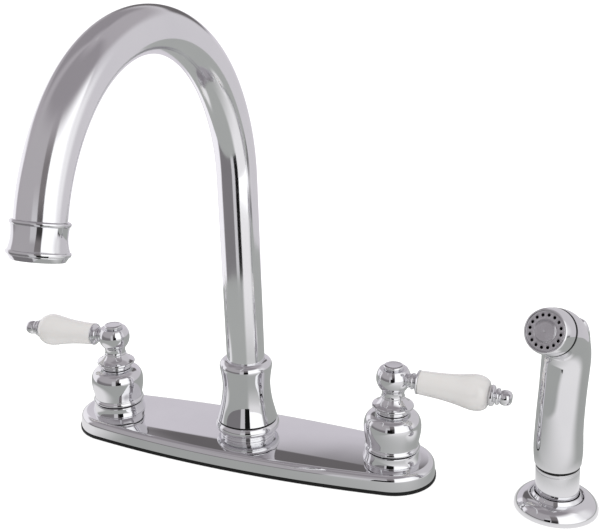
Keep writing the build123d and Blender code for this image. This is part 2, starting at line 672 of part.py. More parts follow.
    with BuildPart() as finial:
        bore = ROD_R + 0.05
        with BuildSketch(lever_plane):
            with BuildLine():
                Polyline((PORCELAIN_END, bore), FINIAL_BEAD[0])
                ThreePointArc(*FINIAL_BEAD)
                Polyline(FINIAL_BEAD[2], *FINIAL_GROOVE, FINIAL_RING[0])
                ThreePointArc(*FINIAL_RING)
                Polyline(FINIAL_RING[2], FINIAL_KNOB[0])
                ThreePointArc(*FINIAL_KNOB)
                Polyline(FINIAL_KNOB[2], (FINIAL_END, FINIAL_TIP_R), (FINIAL_END, 0), (ROD_END + 0.2, 0))
                Polyline((ROD_END + 0.2, 0), (ROD_END + 0.2, bore), (PORCELAIN_END, bore))
            make_face()
        revolve(axis=lever_axis)
    save(finial, f"{side}_finial")

    with BuildPart() as tie_rod:
        with BuildSketch(Plane(origin=ball + out * ROD_START, z_dir=out)):
            Circle(ROD_R)
        extrude(amount=ROD_END - ROD_START)
    save(tie_rod, f"{side}_tie_rod")

with BuildPart() as shank_washers:
    with BuildSketch(Plane.XY.offset(WASHER_TOP - WASHER_THICKNESS)):
        with Locations((-HANDLE_X, 0), (HANDLE_X, 0)):
            Circle(WASHER_R)
            Circle(SHANK_R + NUT_FIT, mode=Mode.SUBTRACT)
    extrude(amount=WASHER_THICKNESS)
save(shank_washers, "shank_washers")

with BuildPart() as shank_nuts:
    with BuildSketch(Plane.XY.offset(WASHER_TOP - WASHER_THICKNESS - NUT_HEIGHT)):
        with Locations((-HANDLE_X, 0), (HANDLE_X, 0)):
            RegularPolygon(NUT_R, 6)
            Circle(SHANK_R + NUT_FIT, mode=Mode.SUBTRACT)
    extrude(amount=NUT_HEIGHT)
save(shank_nuts, "shank_nuts")

# --------------------------------------------------------------------- spout

with BuildPart() as spout_base_ring:
    with BuildSketch(upright(0)):
        with BuildLine():
            Polyline(
                (POST_R + 0.3, PLATE_TOP), (FOOT_DISC_R, PLATE_TOP), (FOOT_DISC_R, FOOT_DISC_TOP), FOOT_GROOVE,
                BEAD_START,
            )
            ThreePointArc(BEAD_START, (BASE_BEAD_R, BASE_BEAD_Z), (COLLAR_FOOT_R, BASE_BEAD_TOP))
            Polyline(
                (COLLAR_FOOT_R, BASE_BEAD_TOP), (POST_R + 0.3, BASE_BEAD_TOP), (POST_R + 0.3, PLATE_TOP),
            )
        make_face()
    revolve(axis=vertical(0))
save(spout_base_ring, "spout_base_ring")

with BuildPart() as swivel_washer:
    with BuildSketch(Plane.XY.offset(BASE_BEAD_TOP)):
        Circle(COLLAR_FOOT_R - 0.8)
        Circle(POST_R + 0.3, mode=Mode.SUBTRACT)
    extrude(amount=SWIVEL_WASHER_TOP - BASE_BEAD_TOP)
save(swivel_washer, "swivel_washer")

with BuildPart() as spout_collar:
    with BuildSketch(upright(0)):
        with BuildLine():
            Polyline((COLLAR_BORE_R, COLLAR_START), (COLLAR_FOOT_R, COLLAR_START))
            Spline((COLLAR_FOOT_R, COLLAR_START), *COLLAR_FLARE, tangents=((-0.27, 1), (0.04, 1)))
            ThreePointArc(COLLAR_FLARE[3], COLLAR_SHOULDER, (COLLAR_END_R, COLLAR_END))
            Polyline(
                (COLLAR_END_R, COLLAR_END), (SPOUT_R + SPOUT_FIT, COLLAR_END), (SPOUT_R + SPOUT_FIT, SPOUT_START - 0.2),
                (COLLAR_BORE_R, SPOUT_START - 0.2), (COLLAR_BORE_R, COLLAR_START),
            )
        make_face()
    revolve(axis=vertical(0))
save(spout_collar, "spout_collar")

# The spout's centre line lies in an upright plane through the column: across is the reach, up is Z.
reach = Vector(-sin(radians(SPOUT_TURN)), -cos(radians(SPOUT_TURN)), 0)
spout_plane = Plane(origin=(0, 0, 0), x_dir=reach, z_dir=reach.cross(Vector(0, 0, 1)))
with BuildLine(spout_plane) as spout_path:
    socket = Line((0, SPOUT_START), (0, SPOUT_STRAIGHT_TOP))
    kink = JernArc(socket @ 1, socket % 1, 8 * SPOUT_R, -SPOUT_LEAN)
    riser = Line(kink @ 1, kink @ 1 + (kink % 1) * SPOUT_RISER)
    rise = JernArc(riser @ 1, riser % 1, SPOUT_WIDE_R, -SPOUT_WIDE_TURN)
    top = JernArc(rise @ 1, rise % 1, SPOUT_CROWN_R, -SPOUT_CROWN_TURN)
    fall = JernArc(top @ 1, top % 1, SPOUT_WIDE_R, -SPOUT_LAST_TURN)
    tail = Line(fall @ 1, fall @ 1 + (fall % 1) * (SPOUT_DROP + OUTLET_SEAT - 0.2))
outlet_start = fall @ 1 + (fall % 1) * SPOUT_DROP
outlet_dir = fall % 1

with BuildPart() as spout_tube:
    with BuildSketch(Plane(origin=socket @ 0, z_dir=socket % 0)):
        Circle(SPOUT_R)
        Circle(SPOUT_R - SPOUT_WALL, mode=Mode.SUBTRACT)
    sweep(path=spout_path.wires()[0])
save(spout_tube, "spout_tube")

outlet_side = spout_plane.z_dir
outlet_plane = Plane(origin=outlet_start, x_dir=outlet_side, z_dir=outlet_side.cross(outlet_dir))
outlet_axis = Axis(outlet_start, outlet_dir)

with BuildPart() as outlet_shell:
    with BuildSketch(outlet_plane):
        with BuildLine():
            Polyline((SPOUT_R + SPOUT_FIT, OUTLET_TOP), (OUTLET_TOP_R, OUTLET_TOP))
            ThreePointArc((OUTLET_TOP_R, OUTLET_TOP), OUTLET_BEAD, OUTLET_GROOVE)
            ThreePointArc(OUTLET_GROOVE, OUTLET_WAIST, OUTLET_RIM_START)
            ThreePointArc(OUTLET_RIM_START, OUTLET_RIM, (OUTLET_END_R, OUTLET_END))
            Polyline(
                (OUTLET_END_R, OUTLET_END), (OUTLET_BORE_R, OUTLET_END), (OUTLET_BORE_R, OUTLET_SEAT + 1),
                (SPOUT_R - SPOUT_WALL, OUTLET_SEAT + 1), (SPOUT_R - SPOUT_WALL, OUTLET_SEAT),
                (SPOUT_R + SPOUT_FIT, OUTLET_SEAT), (SPOUT_R + SPOUT_FIT, OUTLET_TOP),
            )
        make_face()
    revolve(axis=outlet_axis)
save(outlet_shell, "outlet_shell")

with BuildPart() as aerator_washer:
    with BuildSketch(Plane(origin=outlet_start + outlet_dir * (OUTLET_SEAT + 1), z_dir=outlet_dir)):
        Circle(OUTLET_BORE_R - 0.1)
        Circle(OUTLET_BORE_R - 3.4, mode=Mode.SUBTRACT)
    extrude(amount=1.6)
save(aerator_washer, "aerator_washer")

with BuildPart() as aerator_housing:
    with BuildSketch(outlet_plane):
        with BuildLine():
            Polyline(
                (AERATOR_BORE_R, OUTLET_SEAT + 2.6), (OUTLET_BORE_R - 0.05, OUTLET_SEAT + 2.6),
                (OUTLET_BORE_R - 0.05, OUTLET_END), (AERATOR_LIP_R, OUTLET_END), (AERATOR_FACE_R, AERATOR_END),
                (AERATOR_BORE_R - 0.6, AERATOR_END), (AERATOR_BORE_R - 0.6, AERATOR_END - 0.8),
                (AERATOR_BORE_R, AERATOR_END - 0.8), close=True,
            )
        make_face()
    revolve(axis=outlet_axis)
save(aerator_housing, "aerator_housing")

with BuildPart() as aerator_insert:
    with BuildSketch(Plane(origin=outlet_start + outlet_dir * (AERATOR_END - 1.0), z_dir=-outlet_dir)):
        Circle(AERATOR_BORE_R - 0.05)
        with PolarLocations(4.2, 6):
            Circle(1.1, mode=Mode.SUBTRACT)
        with PolarLocations(8.2, 10):
            Circle(1.1, mode=Mode.SUBTRACT)
    extrude(amount=8.0)
save(aerator_insert, "aerator_insert")

# --------------------------------------------------------- side spray holder

with BuildPart() as spray_holder:
    with BuildSketch(upright(SPRAY_X, SPRAY_Y)):
        with BuildLine():
            Polyline((HOLDER_BORE_R, HOLDER_SHANK_BOTTOM), (HOLDER_SHANK_R, HOLDER_SHANK_BOTTOM), (HOLDER_SHANK_R, 0))
            Polyline((HOLDER_SHANK_R, 0), (HOLDER_R, 0), (HOLDER_R, HOLDER_FOOT_TOP))
            ThreePointArc((HOLDER_R, HOLDER_FOOT_TOP), HOLDER_SLOPE, (HOLDER_TOP_R, HOLDER_TOP))
            Polyline(
                (HOLDER_TOP_R, HOLDER_TOP), (HOLDER_LIP_R, HOLDER_TOP - 0.2), (LINER_RING_R + 0.15, HOLDER_TOP - 1.4),
                (LINER_RING_R + 0.15, LINER_STEP_Z), (LINER_R + 0.1, LINER_STEP_Z), (LINER_R + 0.1, LINER_BASE - 0.2),
                (HOLDER_BORE_R, LINER_BASE - 0.2), (HOLDER_BORE_R, HOLDER_SHANK_BOTTOM),
            )
        make_face()
    revolve(axis=vertical(SPRAY_X, SPRAY_Y))
save(spray_holder, "spray_holder")

with BuildPart() as holder_liner:
    with BuildSketch(upright(SPRAY_X, SPRAY_Y)):
        with BuildLine():
            Polyline(
                (LINER_BORE_R, LINER_BASE), (LINER_R, LINER_BASE), (LINER_R, LINER_STEP_Z), (LINER_RING_R, LINER_STEP_Z),
                (LINER_RING_R, LINER_RING_TOP), (LINER_MOUTH_R + 0.3, LINER_TOP), (LINER_MOUTH_R, LINER_TOP), close=True,
            )
        make_face()
    revolve(axis=vertical(SPRAY_X, SPRAY_Y))
save(holder_liner, "holder_liner")

with BuildPart() as holder_nut:
    with BuildSketch(Plane.XY.offset(WASHER_TOP - NUT_HEIGHT)):
        with Locations((SPRAY_X, SPRAY_Y)):
            RegularPolygon(HOLDER_SHANK_R + 8, 6)
            Circle(HOLDER_SHANK_R + NUT_FIT, mode=Mode.SUBTRACT)
    extrude(amount=NUT_HEIGHT)
save(holder_nut, "holder_nut")

# ---------------------------------------------------------------- side spray

facing = Vector(-sin(radians(SPRAY_FACING)), -cos(radians(SPRAY_FACING)), 0)
across = facing.cross(Vector(0, 0, 1))
spray_foot = Vector(SPRAY_X, SPRAY_Y, 0)
spray_section = Plane(origin=spray_foot, x_dir=facing, z_dir=across)
seat = spray_foot + Vector(0, 0, SPRAY_SEAT_Z)
spray_up = facing * sin(radians(SPRAY_LEAN)) + Vector(0, 0, cos(radians(SPRAY_LEAN)))
spray_axis = Axis(seat, spray_up)


def spray_level(s):
    """Plane square to the spray's leaning axis, s above the middle of the holder's mouth."""
    return Plane(origin=seat + spray_up * s, z_dir=spray_up)


with BuildPart() as spray_sleeve:
    with BuildSketch(spray_level(SPIGOT_BOTTOM)):
        Circle(SPIGOT_R)
    extrude(amount=SLEEVE_BOTTOM - SPIGOT_BOTTOM)
    with BuildSketch(spray_level(SLEEVE_BOTTOM)):
        Circle(SLEEVE_R)
    extrude(amount=SLEEVE_TOP - SLEEVE_BOTTOM)
    with BuildSketch(spray_level(SLEEVE_LINE)):
        Circle(SLEEVE_R)
        Circle(SLEEVE_R - SLEEVE_LINE_DEPTH, mode=Mode.SUBTRACT)
    extrude(amount=SLEEVE_LINE_WIDTH, mode=Mode.SUBTRACT)
    with BuildSketch(spray_level(SLEEVE_TOP)):
        Circle(SWIVEL_R)
    extrude(amount=SWIVEL_TOP - SLEEVE_TOP)
    with BuildSketch(spray_level(SPIGOT_BOTTOM)):
        Circle(HOSE_SOCKET_R)
    extrude(amount=HOSE_SOCKET_DEPTH, mode=Mode.SUBTRACT)
    with BuildSketch(spray_level(SPIGOT_BOTTOM)):
        Circle(WATER_R)
    extrude(amount=SWIVEL_TOP - SPIGOT_BOTTOM, mode=Mode.SUBTRACT)
save(spray_sleeve, "spray_sleeve")

with BuildPart() as spray_seal:
    with BuildSketch(spray_level(SLEEVE_TOP)):
        Circle(SPRAY_SEAL_R)
        Circle(SWIVEL_R + 0.05, mode=Mode.SUBTRACT)
    extrude(amount=GRIP_START - SLEEVE_TOP - 0.3)
save(spray_seal, "spray_seal")

# The handset's centre line: out of the sleeve, a slight curve back, then the bend into the head.
with BuildLine(spray_section) as spray_path:
    grip_foot = seat + spray_up * GRIP_START
    grip_line = Line(grip_foot, grip_foot + spray_up * GRIP_STRAIGHT)
    back_curve = JernArc(grip_line @ 1, grip_line % 1, GRIP_BACK_R, GRIP_BACK_TURN)
    upper_line = Line(back_curve @ 1, back_curve @ 1 + (back_curve % 1) * GRIP_UPPER)
    head_bend = JernArc(upper_line @ 1, upper_line % 1, HEAD_BEND_R, -HEAD_BEND_TURN)
    head_tail = Line(head_bend @ 1, head_bend @ 1 + (head_bend % 1) * HEAD_TAIL)
nozzle_at = head_tail @ 1
nozzle_dir = head_tail % 1
nozzle_axis = Axis(nozzle_at, nozzle_dir)
# Radius of the grip at places along the centre line
GRIP_STATIONS = (
    (grip_line, 0, 13.55), (grip_line, 0.7, 14.1), (back_curve, 0.35, 13.8), (back_curve, 0.9, 13.5),
    (upper_line, 0.3, 13.4), (upper_line, 1, 13.6), (head_bend, 0.33, 13.6), (head_bend, 0.66, 13.6),
    (head_bend, 1, 13.55), (head_tail, 1, 13.4),
)


def grip_solid(grow):
    """The handset's rounded body, lofted through circles along its centre line and grown by grow."""
    with BuildPart(mode=Mode.PRIVATE) as body:
        for edge, t, r in GRIP_STATIONS:
            with BuildSketch(Plane(origin=edge @ t, x_dir=across, z_dir=edge % t)):
                Circle(r + grow)
        loft()
    return body.part


def back_block(half_width, low, high):
    """Upright block behind the handset's centre line, between two heights."""
    reach_h = (upper_line @ 1 - spray_foot).dot(facing)
    with BuildPart(mode=Mode.PRIVATE) as block:
        with BuildSketch(Plane(origin=spray_foot + facing * reach_h + Vector(0, 0, low), x_dir=across, z_dir=(0, 0, 1))):
            with Locations((0, -30)):
                Rectangle(2 * half_width, 60)
        extrude(amount=high - low)
    return block.part


def lugs(grow, reach):
    """Pair of ears that carry the trigger on its pin, grown by grow."""
    with BuildPart(mode=Mode.PRIVATE) as pair:
        for hand in (-1, 1):
            start = pivot + across * (hand * (LUG_START - grow))
            with BuildSketch(Plane(origin=start, x_dir=pivot_out, z_dir=across * hand)):
                Circle(LUG_R + grow)
                with Locations((reach / 2, 0)):
                    Rectangle(reach, 2 * (LUG_R + grow))
            extrude(amount=LUG_WIDTH + 2 * grow)
    return pair.part


# Trigger pin behind the bent centre line, plunger behind the straight part under it
pivot_t = (PIVOT_HEADING + GRIP_BACK_TURN - SPRAY_LEAN) / HEAD_BEND_TURN
pivot_out = across.cross(head_bend % pivot_t)
pivot = head_bend @ pivot_t + pivot_out * PIVOT_DEPTH
plunger_foot = upper_line @ PLUNGER_AT
plunger_out = across.cross(upper_line % PLUNGER_AT)

with BuildPart() as spray_body:
    add(grip_solid(0))
    with BuildSketch(Plane(origin=nozzle_at, z_dir=nozzle_dir)):
        Circle(NOZZLE_SPIGOT_R)
    extrude(amount=NOZZLE_SPIGOT)
    with BuildSketch(spray_level(GRIP_START)):
        Circle(SWIVEL_R + SWIVEL_FIT)
    extrude(amount=SWIVEL_TOP + 0.5 - GRIP_START, mode=Mode.SUBTRACT)
    add(back_block(TRIGGER_HALF_WIDTH + WELL_GAP, TRIGGER_LOW - WELL_FOOT_GAP, TRIGGER_HIGH + WELL_GAP)
        - grip_solid(-WELL_DEPTH), mode=Mode.SUBTRACT)
    add(lugs(LUG_GAP, LUG_REACH), mode=Mode.SUBTRACT)
    with BuildSketch(Plane(origin=pivot - across * (PIN_HALF_LENGTH + 0.1), z_dir=across)):
        Circle(PIN_R + 0.02)
    extrude(amount=2 * PIN_HALF_LENGTH + 0.2, mode=Mode.SUBTRACT)
    with BuildSketch(Plane(origin=plunger_foot, z_dir=plunger_out)):
        Circle(PLUNGER_R + PLUNGER_FIT)
    extrude(amount=PLUNGER_OUT, mode=Mode.SUBTRACT)
    with BuildSketch(Plane(origin=plunger_foot + plunger_out * SPRING_SEAT, z_dir=plunger_out)):
        Circle(PLUNGER_HEAD_R + 0.4)
    extrude(amount=PLUNGER_OUT, mode=Mode.SUBTRACT)
    with BuildSketch(spray_level(GRIP_START)):
        Circle(WATER_R)
    sweep(path=spray_path.wires()[0], mode=Mode.SUBTRACT)
    with BuildSketch(Plane(origin=nozzle_at - nozzle_dir, z_dir=nozzle_dir)):
        Circle(WATER_R)
    extrude(amount=NOZZLE_SPIGOT + 2, mode=Mode.SUBTRACT)
save(spray_body, "spray_body")

with BuildPart() as spray_trigger:
    add(back_block(TRIGGER_HALF_WIDTH, TRIGGER_LOW, TRIGGER_HIGH))
    add(grip_solid(TRIGGER_PROUD), mode=Mode.INTERSECT)
    add(grip_solid(-TRIGGER_SUNK), mode=Mode.SUBTRACT)
    add(lugs(0, LUG_REACH))
    with BuildSketch(Plane(origin=pivot - across * (PIN_HALF_LENGTH + 0.1), z_dir=across)):
        Circle(PIN_R + 0.05)
    extrude(amount=2 * PIN_HALF_LENGTH + 0.2, mode=Mode.SUBTRACT)
save(spray_trigger, "spray_trigger")

with BuildPart() as trigger_pin:
    with BuildSketch(Plane(origin=pivot - across * PIN_HALF_LENGTH, z_dir=across)):
        Circle(PIN_R)
    extrude(amount=2 * PIN_HALF_LENGTH)
save(trigger_pin, "trigger_pin")

with BuildPart() as spray_plunger:
    with BuildSketch(Plane(origin=plunger_foot + plunger_out * PLUNGER_IN, z_dir=plunger_out)):
        Circle(PLUNGER_R)
    extrude(amount=PLUNGER_OUT - PLUNGER_IN)
    with BuildSketch(Plane(origin=plunger_foot + plunger_out * (PLUNGER_OUT - PLUNGER_HEAD), z_dir=plunger_out)):
        Circle(PLUNGER_HEAD_R)
    extrude(amount=PLUNGER_HEAD)
save(spray_plunger, "spray_plunger")

spring_foot = plunger_foot + plunger_out * (SPRING_SEAT + SPRING_WIRE / 2 + 0.05)
spring_length = PLUNGER_OUT - PLUNGER_HEAD - SPRING_SEAT - SPRING_WIRE - 0.1
with BuildPart() as plunger_spring:
    with BuildLine() as coil:
        Helix(pitch=SPRING_PITCH, height=spring_length, radius=SPRING_R, center=spring_foot, direction=plunger_out)
    with BuildSketch(Plane(origin=coil.line @ 0, z_dir=coil.line % 0)):
        Rectangle(SPRING_WIRE, SPRING_WIRE)
    sweep(path=coil.line, is_frenet=True)
save(plunger_spring, "plunger_spring")

nozzle_section = Plane(origin=nozzle_at, x_dir=nozzle_dir, z_dir=across * -1)

with BuildPart() as nozzle_gasket:
    with BuildSketch(Plane(origin=nozzle_at, z_dir=nozzle_dir)):
        Circle(NOZZLE_GASKET_R)
        Circle(BEZEL_BORE_R, mode=Mode.SUBTRACT)
    extrude(amount=NOZZLE_GASKET_T)
save(nozzle_gasket, "nozzle_gasket")

with BuildPart() as nozzle_bezel:
    with BuildSketch(nozzle_section):
        with BuildLine():
            Polyline((NOZZLE_GASKET_T, BEZEL_BORE_R), (NOZZLE_GASKET_T, BEZEL_R - 0.3), (1.1, BEZEL_R))
            ThreePointArc((1.1, BEZEL_R), *BEZEL_BARREL)
            ThreePointArc(BEZEL_BARREL[1], BEZEL_NOSE, (BEZEL_END, BEZEL_END_R))
            Polyline(
                (BEZEL_END, BEZEL_END_R), (FACE_FRONT + 0.2, BEZEL_LIP_R), (BEZEL_LIP, BEZEL_LIP_R),
                (BEZEL_LIP, BEZEL_BORE_R), (NOZZLE_GASKET_T, BEZEL_BORE_R),
            )
        make_face()
    revolve(axis=nozzle_axis)
save(nozzle_bezel, "nozzle_bezel")

with BuildPart() as spray_face:
    with BuildSketch(nozzle_section):
        with BuildLine():
            Polyline(
                (FACE_BACK, 0), (FACE_BACK, BEZEL_BORE_R - 0.05), (BEZEL_LIP - 0.05, BEZEL_BORE_R - 0.05),
                (BEZEL_LIP - 0.05, BEZEL_LIP_R - 0.05), (FACE_FRONT, BEZEL_LIP_R - 0.05), (FACE_FRONT, FACE_DISC_R),
                (FACE_FRONT + 0.5, FACE_DISC_R - 0.5), (FACE_FRONT + 0.5, 0), close=True,
            )
        make_face()
    revolve(axis=nozzle_axis)
    with BuildSketch(Plane(origin=nozzle_at + nozzle_dir * FACE_FRONT, x_dir=across, z_dir=nozzle_dir)):
        with PolarLocations(FACE_HOLE_RING_R, FACE_HOLES):
            Circle(FACE_HOLE_R)
    extrude(amount=FACE_BACK - FACE_FRONT, mode=Mode.SUBTRACT)
save(spray_face, "spray_face")
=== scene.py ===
import json
import math

import bmesh
import bpy
import numpy as np
from mathutils import Matrix


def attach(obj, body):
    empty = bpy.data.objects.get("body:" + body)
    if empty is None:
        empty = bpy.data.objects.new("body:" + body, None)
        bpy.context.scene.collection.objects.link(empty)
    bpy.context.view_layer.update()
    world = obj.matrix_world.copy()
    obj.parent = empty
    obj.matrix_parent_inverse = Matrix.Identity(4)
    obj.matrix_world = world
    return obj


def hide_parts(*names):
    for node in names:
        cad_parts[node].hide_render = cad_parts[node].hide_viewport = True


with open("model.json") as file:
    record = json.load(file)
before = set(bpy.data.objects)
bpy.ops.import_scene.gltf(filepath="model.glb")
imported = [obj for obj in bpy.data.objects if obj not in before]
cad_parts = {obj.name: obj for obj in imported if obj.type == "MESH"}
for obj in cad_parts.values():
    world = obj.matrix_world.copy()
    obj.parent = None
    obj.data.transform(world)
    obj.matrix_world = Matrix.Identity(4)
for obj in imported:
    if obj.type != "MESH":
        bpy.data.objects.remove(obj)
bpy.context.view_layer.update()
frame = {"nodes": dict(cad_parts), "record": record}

MM = 0.001
WELD, SLIVER = 2e-6, 1e-7       # metres: points closer than these are joined, thinner faces are dropped
TURNS = 128                     # steps round a turned piece
UP = np.array([0.0, 0.0, 1.0])

# ------------------------------------------------------------------ sizes, in millimetres and degrees

HANDLE_X = 101.6                # from the column's axis to each handle's
PLATE_END_R, PLATE_END_X = 28.95, 101.2
PLATE_HALF_WIDTH = 36.0
PLATE_BOTTOM, PLATE_TOP = 2.2, 12.4
PLATE_INSIDE = 10.1             # the underside of the plate's top
PLATE_SHOULDER_IN = 9.5         # from the rim in to where the shoulder has become level
FLAT_HALF_WIDTH = 19.0          # the flat middle of the plate's top
APRON_SLOPE, APRON_CURVE = 0.045, 0.0019
APRON_FADE_X, APRON_FADE_WIDTH = 104.0, 26.0
GASKET_WIDTH = 9.0
BALL_Z, BALL_R = 67.95, 10.85   # the ball at the middle of each hub
LEVER_DROP = 2.0
SPOUT_TURN = 3.8
SPOUT_R, SPOUT_WALL = 12.6, 1.2
SPOUT_FOOT_Z = 44.2
OUTLET_INSERT = 2.6             # how far the tube goes into the outlet's sleeve
SPRAY_X, SPRAY_Y, SPRAY_SEAT_Z = 205.5, -3.0, 11.0
SPRAY_FACING, SPRAY_LEAN = 18.4, 6.7
WATERWAY_R = 2.6                # the bore through the hand spray


# ------------------------------------------------------------------ finishes

class Value:
    """One output socket of a material's tree, with arithmetic that adds Math nodes."""

    def __init__(self, finish, socket):
        self.finish, self.socket = finish, socket

    def combine(self, operation, first, second):
        """A Math node on two values or numbers."""
        return self.finish.node("ShaderNodeMath", {"operation": operation}, {0: first, 1: second})

    def __add__(self, other):
        return self.combine("ADD", self, other)

    def __mul__(self, other):
        return self.combine("MULTIPLY", self, other)

    def __sub__(self, other):
        return self.combine("SUBTRACT", self, other)

    def __rsub__(self, other):
        return self.combine("SUBTRACT", other, self)

    __radd__, __rmul__ = __add__, __mul__


class Finish:
    """One surface finish: a material whose nodes are all made by node()."""

    def __init__(self, name, **constants):
        self.material = bpy.data.materials.new(name)
        self.material.use_nodes = True
        self.tree = self.material.node_tree
        self.shader = self.tree.nodes["Principled BSDF"]
        for socket, value in constants.items():
            self.shader.inputs[socket.replace("_", " ")].default_value = value

    def node(self, kind, settings=None, sockets=None, output=0):
        """Adds a node, sets it up, joins its inputs and hands back one output."""
        node = self.tree.nodes.new(kind)
        for key, value in (settings or {}).items():
            setattr(node, key, value)
        for key, value in (sockets or {}).items():
            if isinstance(value, Value):
                self.tree.links.new(value.socket, node.inputs[key])
            else:
                node.inputs[key].default_value = value
        return Value(self, node.outputs[output])

    def feed(self, socket, value):
        """Joins a value to the shader."""
        self.tree.links.new(value.socket, self.shader.inputs[socket])

    def place(self):
        """The piece's own coordinates."""
        return self.node("ShaderNodeTexCoord", output="Object")

    def noise(self, scale, detail):
        """Cloudy noise from 0 to 1 over the piece's own coordinates."""
        return self.node("ShaderNodeTexNoise", None, {"Vector": self.place(), "Scale": scale, "Detail": detail})

    def mix(self, share, low, high):
        """Colour between low and high."""
        return self.node("ShaderNodeMix", {"data_type": "RGBA"}, {0: share, 6: low, 7: high}, 2)

    def bump(self, height, strength, distance):
        """Normal from a height in metres at full strength."""
        relief = {"Height": height, "Strength": strength, "Distance": distance}
        self.feed("Normal", self.node("ShaderNodeBump", None, relief))


def polished_chrome(name, dark, light, gloss):
    """Mirror plate over polished brass: faint waviness and a little polishing haze."""
    chrome = Finish(name, Metallic=1.0)
    haze = chrome.noise(38.0, 3.0)
    chrome.feed("Base Color", chrome.mix(haze, dark, light))
    chrome.feed("Roughness", haze * 0.035 + gloss)
    chrome.bump(chrome.noise(26.0, 1.0), 0.05, 0.0012)
    return chrome.material


def satin_chrome(at, axis):
    """The spray's face: chrome over a moulding, duller than the mirror plate, and black down in its nozzles.

    Light falls off below a level: share = 1100 (height along the axis - level), held between 0 and 1."""
    satin = Finish("satin chrome", Metallic=1.0)
    grain = satin.noise(260.0, 2.0)
    height = satin.node("ShaderNodeVectorMath", {"operation": "DOT_PRODUCT"},
                        {0: satin.place(), 1: tuple(axis)}, 1)
    level = float(np.dot(at, axis) + NOZZLE_DARK_BELOW) * MM
    share = satin.node("ShaderNodeMath", {"operation": "MULTIPLY", "use_clamp": True},
                       {0: height - level, 1: 1100.0})
    face = satin.mix(grain, (0.60, 0.59, 0.61, 1), (0.68, 0.67, 0.69, 1))
    satin.feed("Base Color", satin.mix(share, (0.004, 0.004, 0.004, 1), face))
    satin.feed("Roughness", grain * 0.08 + 0.20)
    satin.bump(grain, 0.05, 0.0001)
    return satin.material


def glazed_porcelain():
    """White glaze over china: nearly even, with a soft cloudiness and a slight ripple in the glaze."""
    china = Finish("glazed porcelain", Coat_Weight=1.0, Coat_Roughness=0.04, Subsurface_Weight=0.12,
                   Subsurface_Radius=(0.004, 0.003, 0.0025), Subsurface_Scale=0.6)
    cloud = china.noise(60.0, 3.0)
    china.feed("Base Color", china.mix(cloud, (0.50, 0.487, 0.478, 1), (0.54, 0.527, 0.517, 1)))
    china.feed("Roughness", cloud * 0.08 + 0.20)
    china.bump(china.noise(110.0, 1.0), 0.06, 0.0005)
    return china.material


def black_rubber():
    """Moulded rubber with a dusty bloom."""
    rubber = Finish("black rubber", Specular_IOR_Level=0.25)
    bloom = rubber.noise(300.0, 4.0)
    rubber.feed("Base Color", rubber.mix(bloom, (0.004, 0.004, 0.004, 1), (0.008, 0.008, 0.008, 1)))
    rubber.feed("Roughness", bloom * 0.2 + 0.5)
    rubber.bump(bloom, 0.2, 0.0002)
    return rubber.material


def turned_metal(name, dark, light, gloss):
    """Bare machined metal: fine tool marks in level rings, and blotches of tarnish."""
    metal = Finish(name, Metallic=1.0)
    marks = metal.node("ShaderNodeTexWave", {"wave_type": "BANDS", "bands_direction": "Z"},
                       {"Vector": metal.place(), "Scale": 900.0, "Distortion": 1.5, "Detail": 2.0}, 1)
    tarnish = metal.noise(45.0, 4.0)
    metal.feed("Base Color", metal.mix(tarnish, dark, light))
    metal.feed("Roughness", tarnish * 0.15 + marks * 0.05 + gloss)
    metal.bump(marks, 0.15, 0.00008)
    return metal.material


def moulded_plastic(name, dark, light, gloss):
    """Injection-moulded plastic with a fine spark-eroded texture."""
    plastic = Finish(name)
    grain = plastic.noise(700.0, 3.0)
    plastic.feed("Base Color", plastic.mix(grain, dark, light))
    plastic.feed("Roughness", grain * 0.12 + gloss)
    plastic.bump(grain, 0.12, 0.0001)
    return plastic.material


CHROME = polished_chrome("polished chrome", (0.77, 0.77, 0.79, 1), (0.85, 0.85, 0.86, 1), 0.016)
# The gooseneck's chrome: its rougher gloss is the tube's buffed finish, but its paler base colour is painted
# light, a brighter copy of the plate's chrome that lifts the reflections on the arch.
BRIGHTENED_TUBE_CHROME = polished_chrome("buffed tube chrome painted brighter", (0.86, 0.86, 0.88, 1), (0.92, 0.92, 0.93, 1), 0.085)
PORCELAIN = glazed_porcelain()
RUBBER = black_rubber()
BRASS = turned_metal("turned brass", (0.52, 0.36, 0.13, 1), (0.74, 0.56, 0.25, 1), 0.22)
COPPER = turned_metal("drawn copper", (0.50, 0.21, 0.12, 1), (0.78, 0.40, 0.27, 1), 0.20)
STEEL = turned_metal("stainless steel", (0.42, 0.42, 0.43, 1), (0.58, 0.58, 0.59, 1), 0.24)
CERAMIC = moulded_plastic("lapped ceramic", (0.80, 0.80, 0.78, 1), (0.88, 0.88, 0.86, 1), 0.12)
WHITE_PLASTIC = moulded_plastic("white plastic", (0.72, 0.72, 0.70, 1), (0.82, 0.82, 0.80, 1), 0.35)
BLACK_PLASTIC = moulded_plastic("black plastic", (0.014, 0.014, 0.015, 1), (0.03, 0.03, 0.03, 1), 0.35)

# the finish of each of the CAD's material slots, then the slot and the body of each node
FINISHES = {
    "chrome": CHROME, "porcelain": PORCELAIN, "index": CHROME, "gasket": RUBBER, "rubber": RUBBER,
    "brass": BRASS, "copper": COPPER, "steel": STEEL, "ceramic": CERAMIC,
    "white_plastic": WHITE_PLASTIC, "black_plastic": BLACK_PLASTIC,
}
SLOT_OF = {part["node"]: part["material_slot"] for part in frame["record"]["subparts"]}
BODY_OF = {node: body for body, nodes in frame["record"]["behaviour"]["bodies"].items() for node in nodes}


# ------------------------------------------------------------------ making meshes

def grid_faces(rows, columns, wrap_rows, wrap_columns):
    """Quads of a rows by columns grid of points, closed on itself along either way if asked."""
    a = np.arange(rows if wrap_rows else rows - 1)[:, None]
    b = np.arange(columns if wrap_columns else columns - 1)[None, :]
    a1, b1 = (a + 1) % rows, (b + 1) % columns
    quads = np.stack([a * columns + b, a * columns + b1, a1 * columns + b1, a1 * columns + b], axis=-1)
    return quads.reshape(-1, 4)


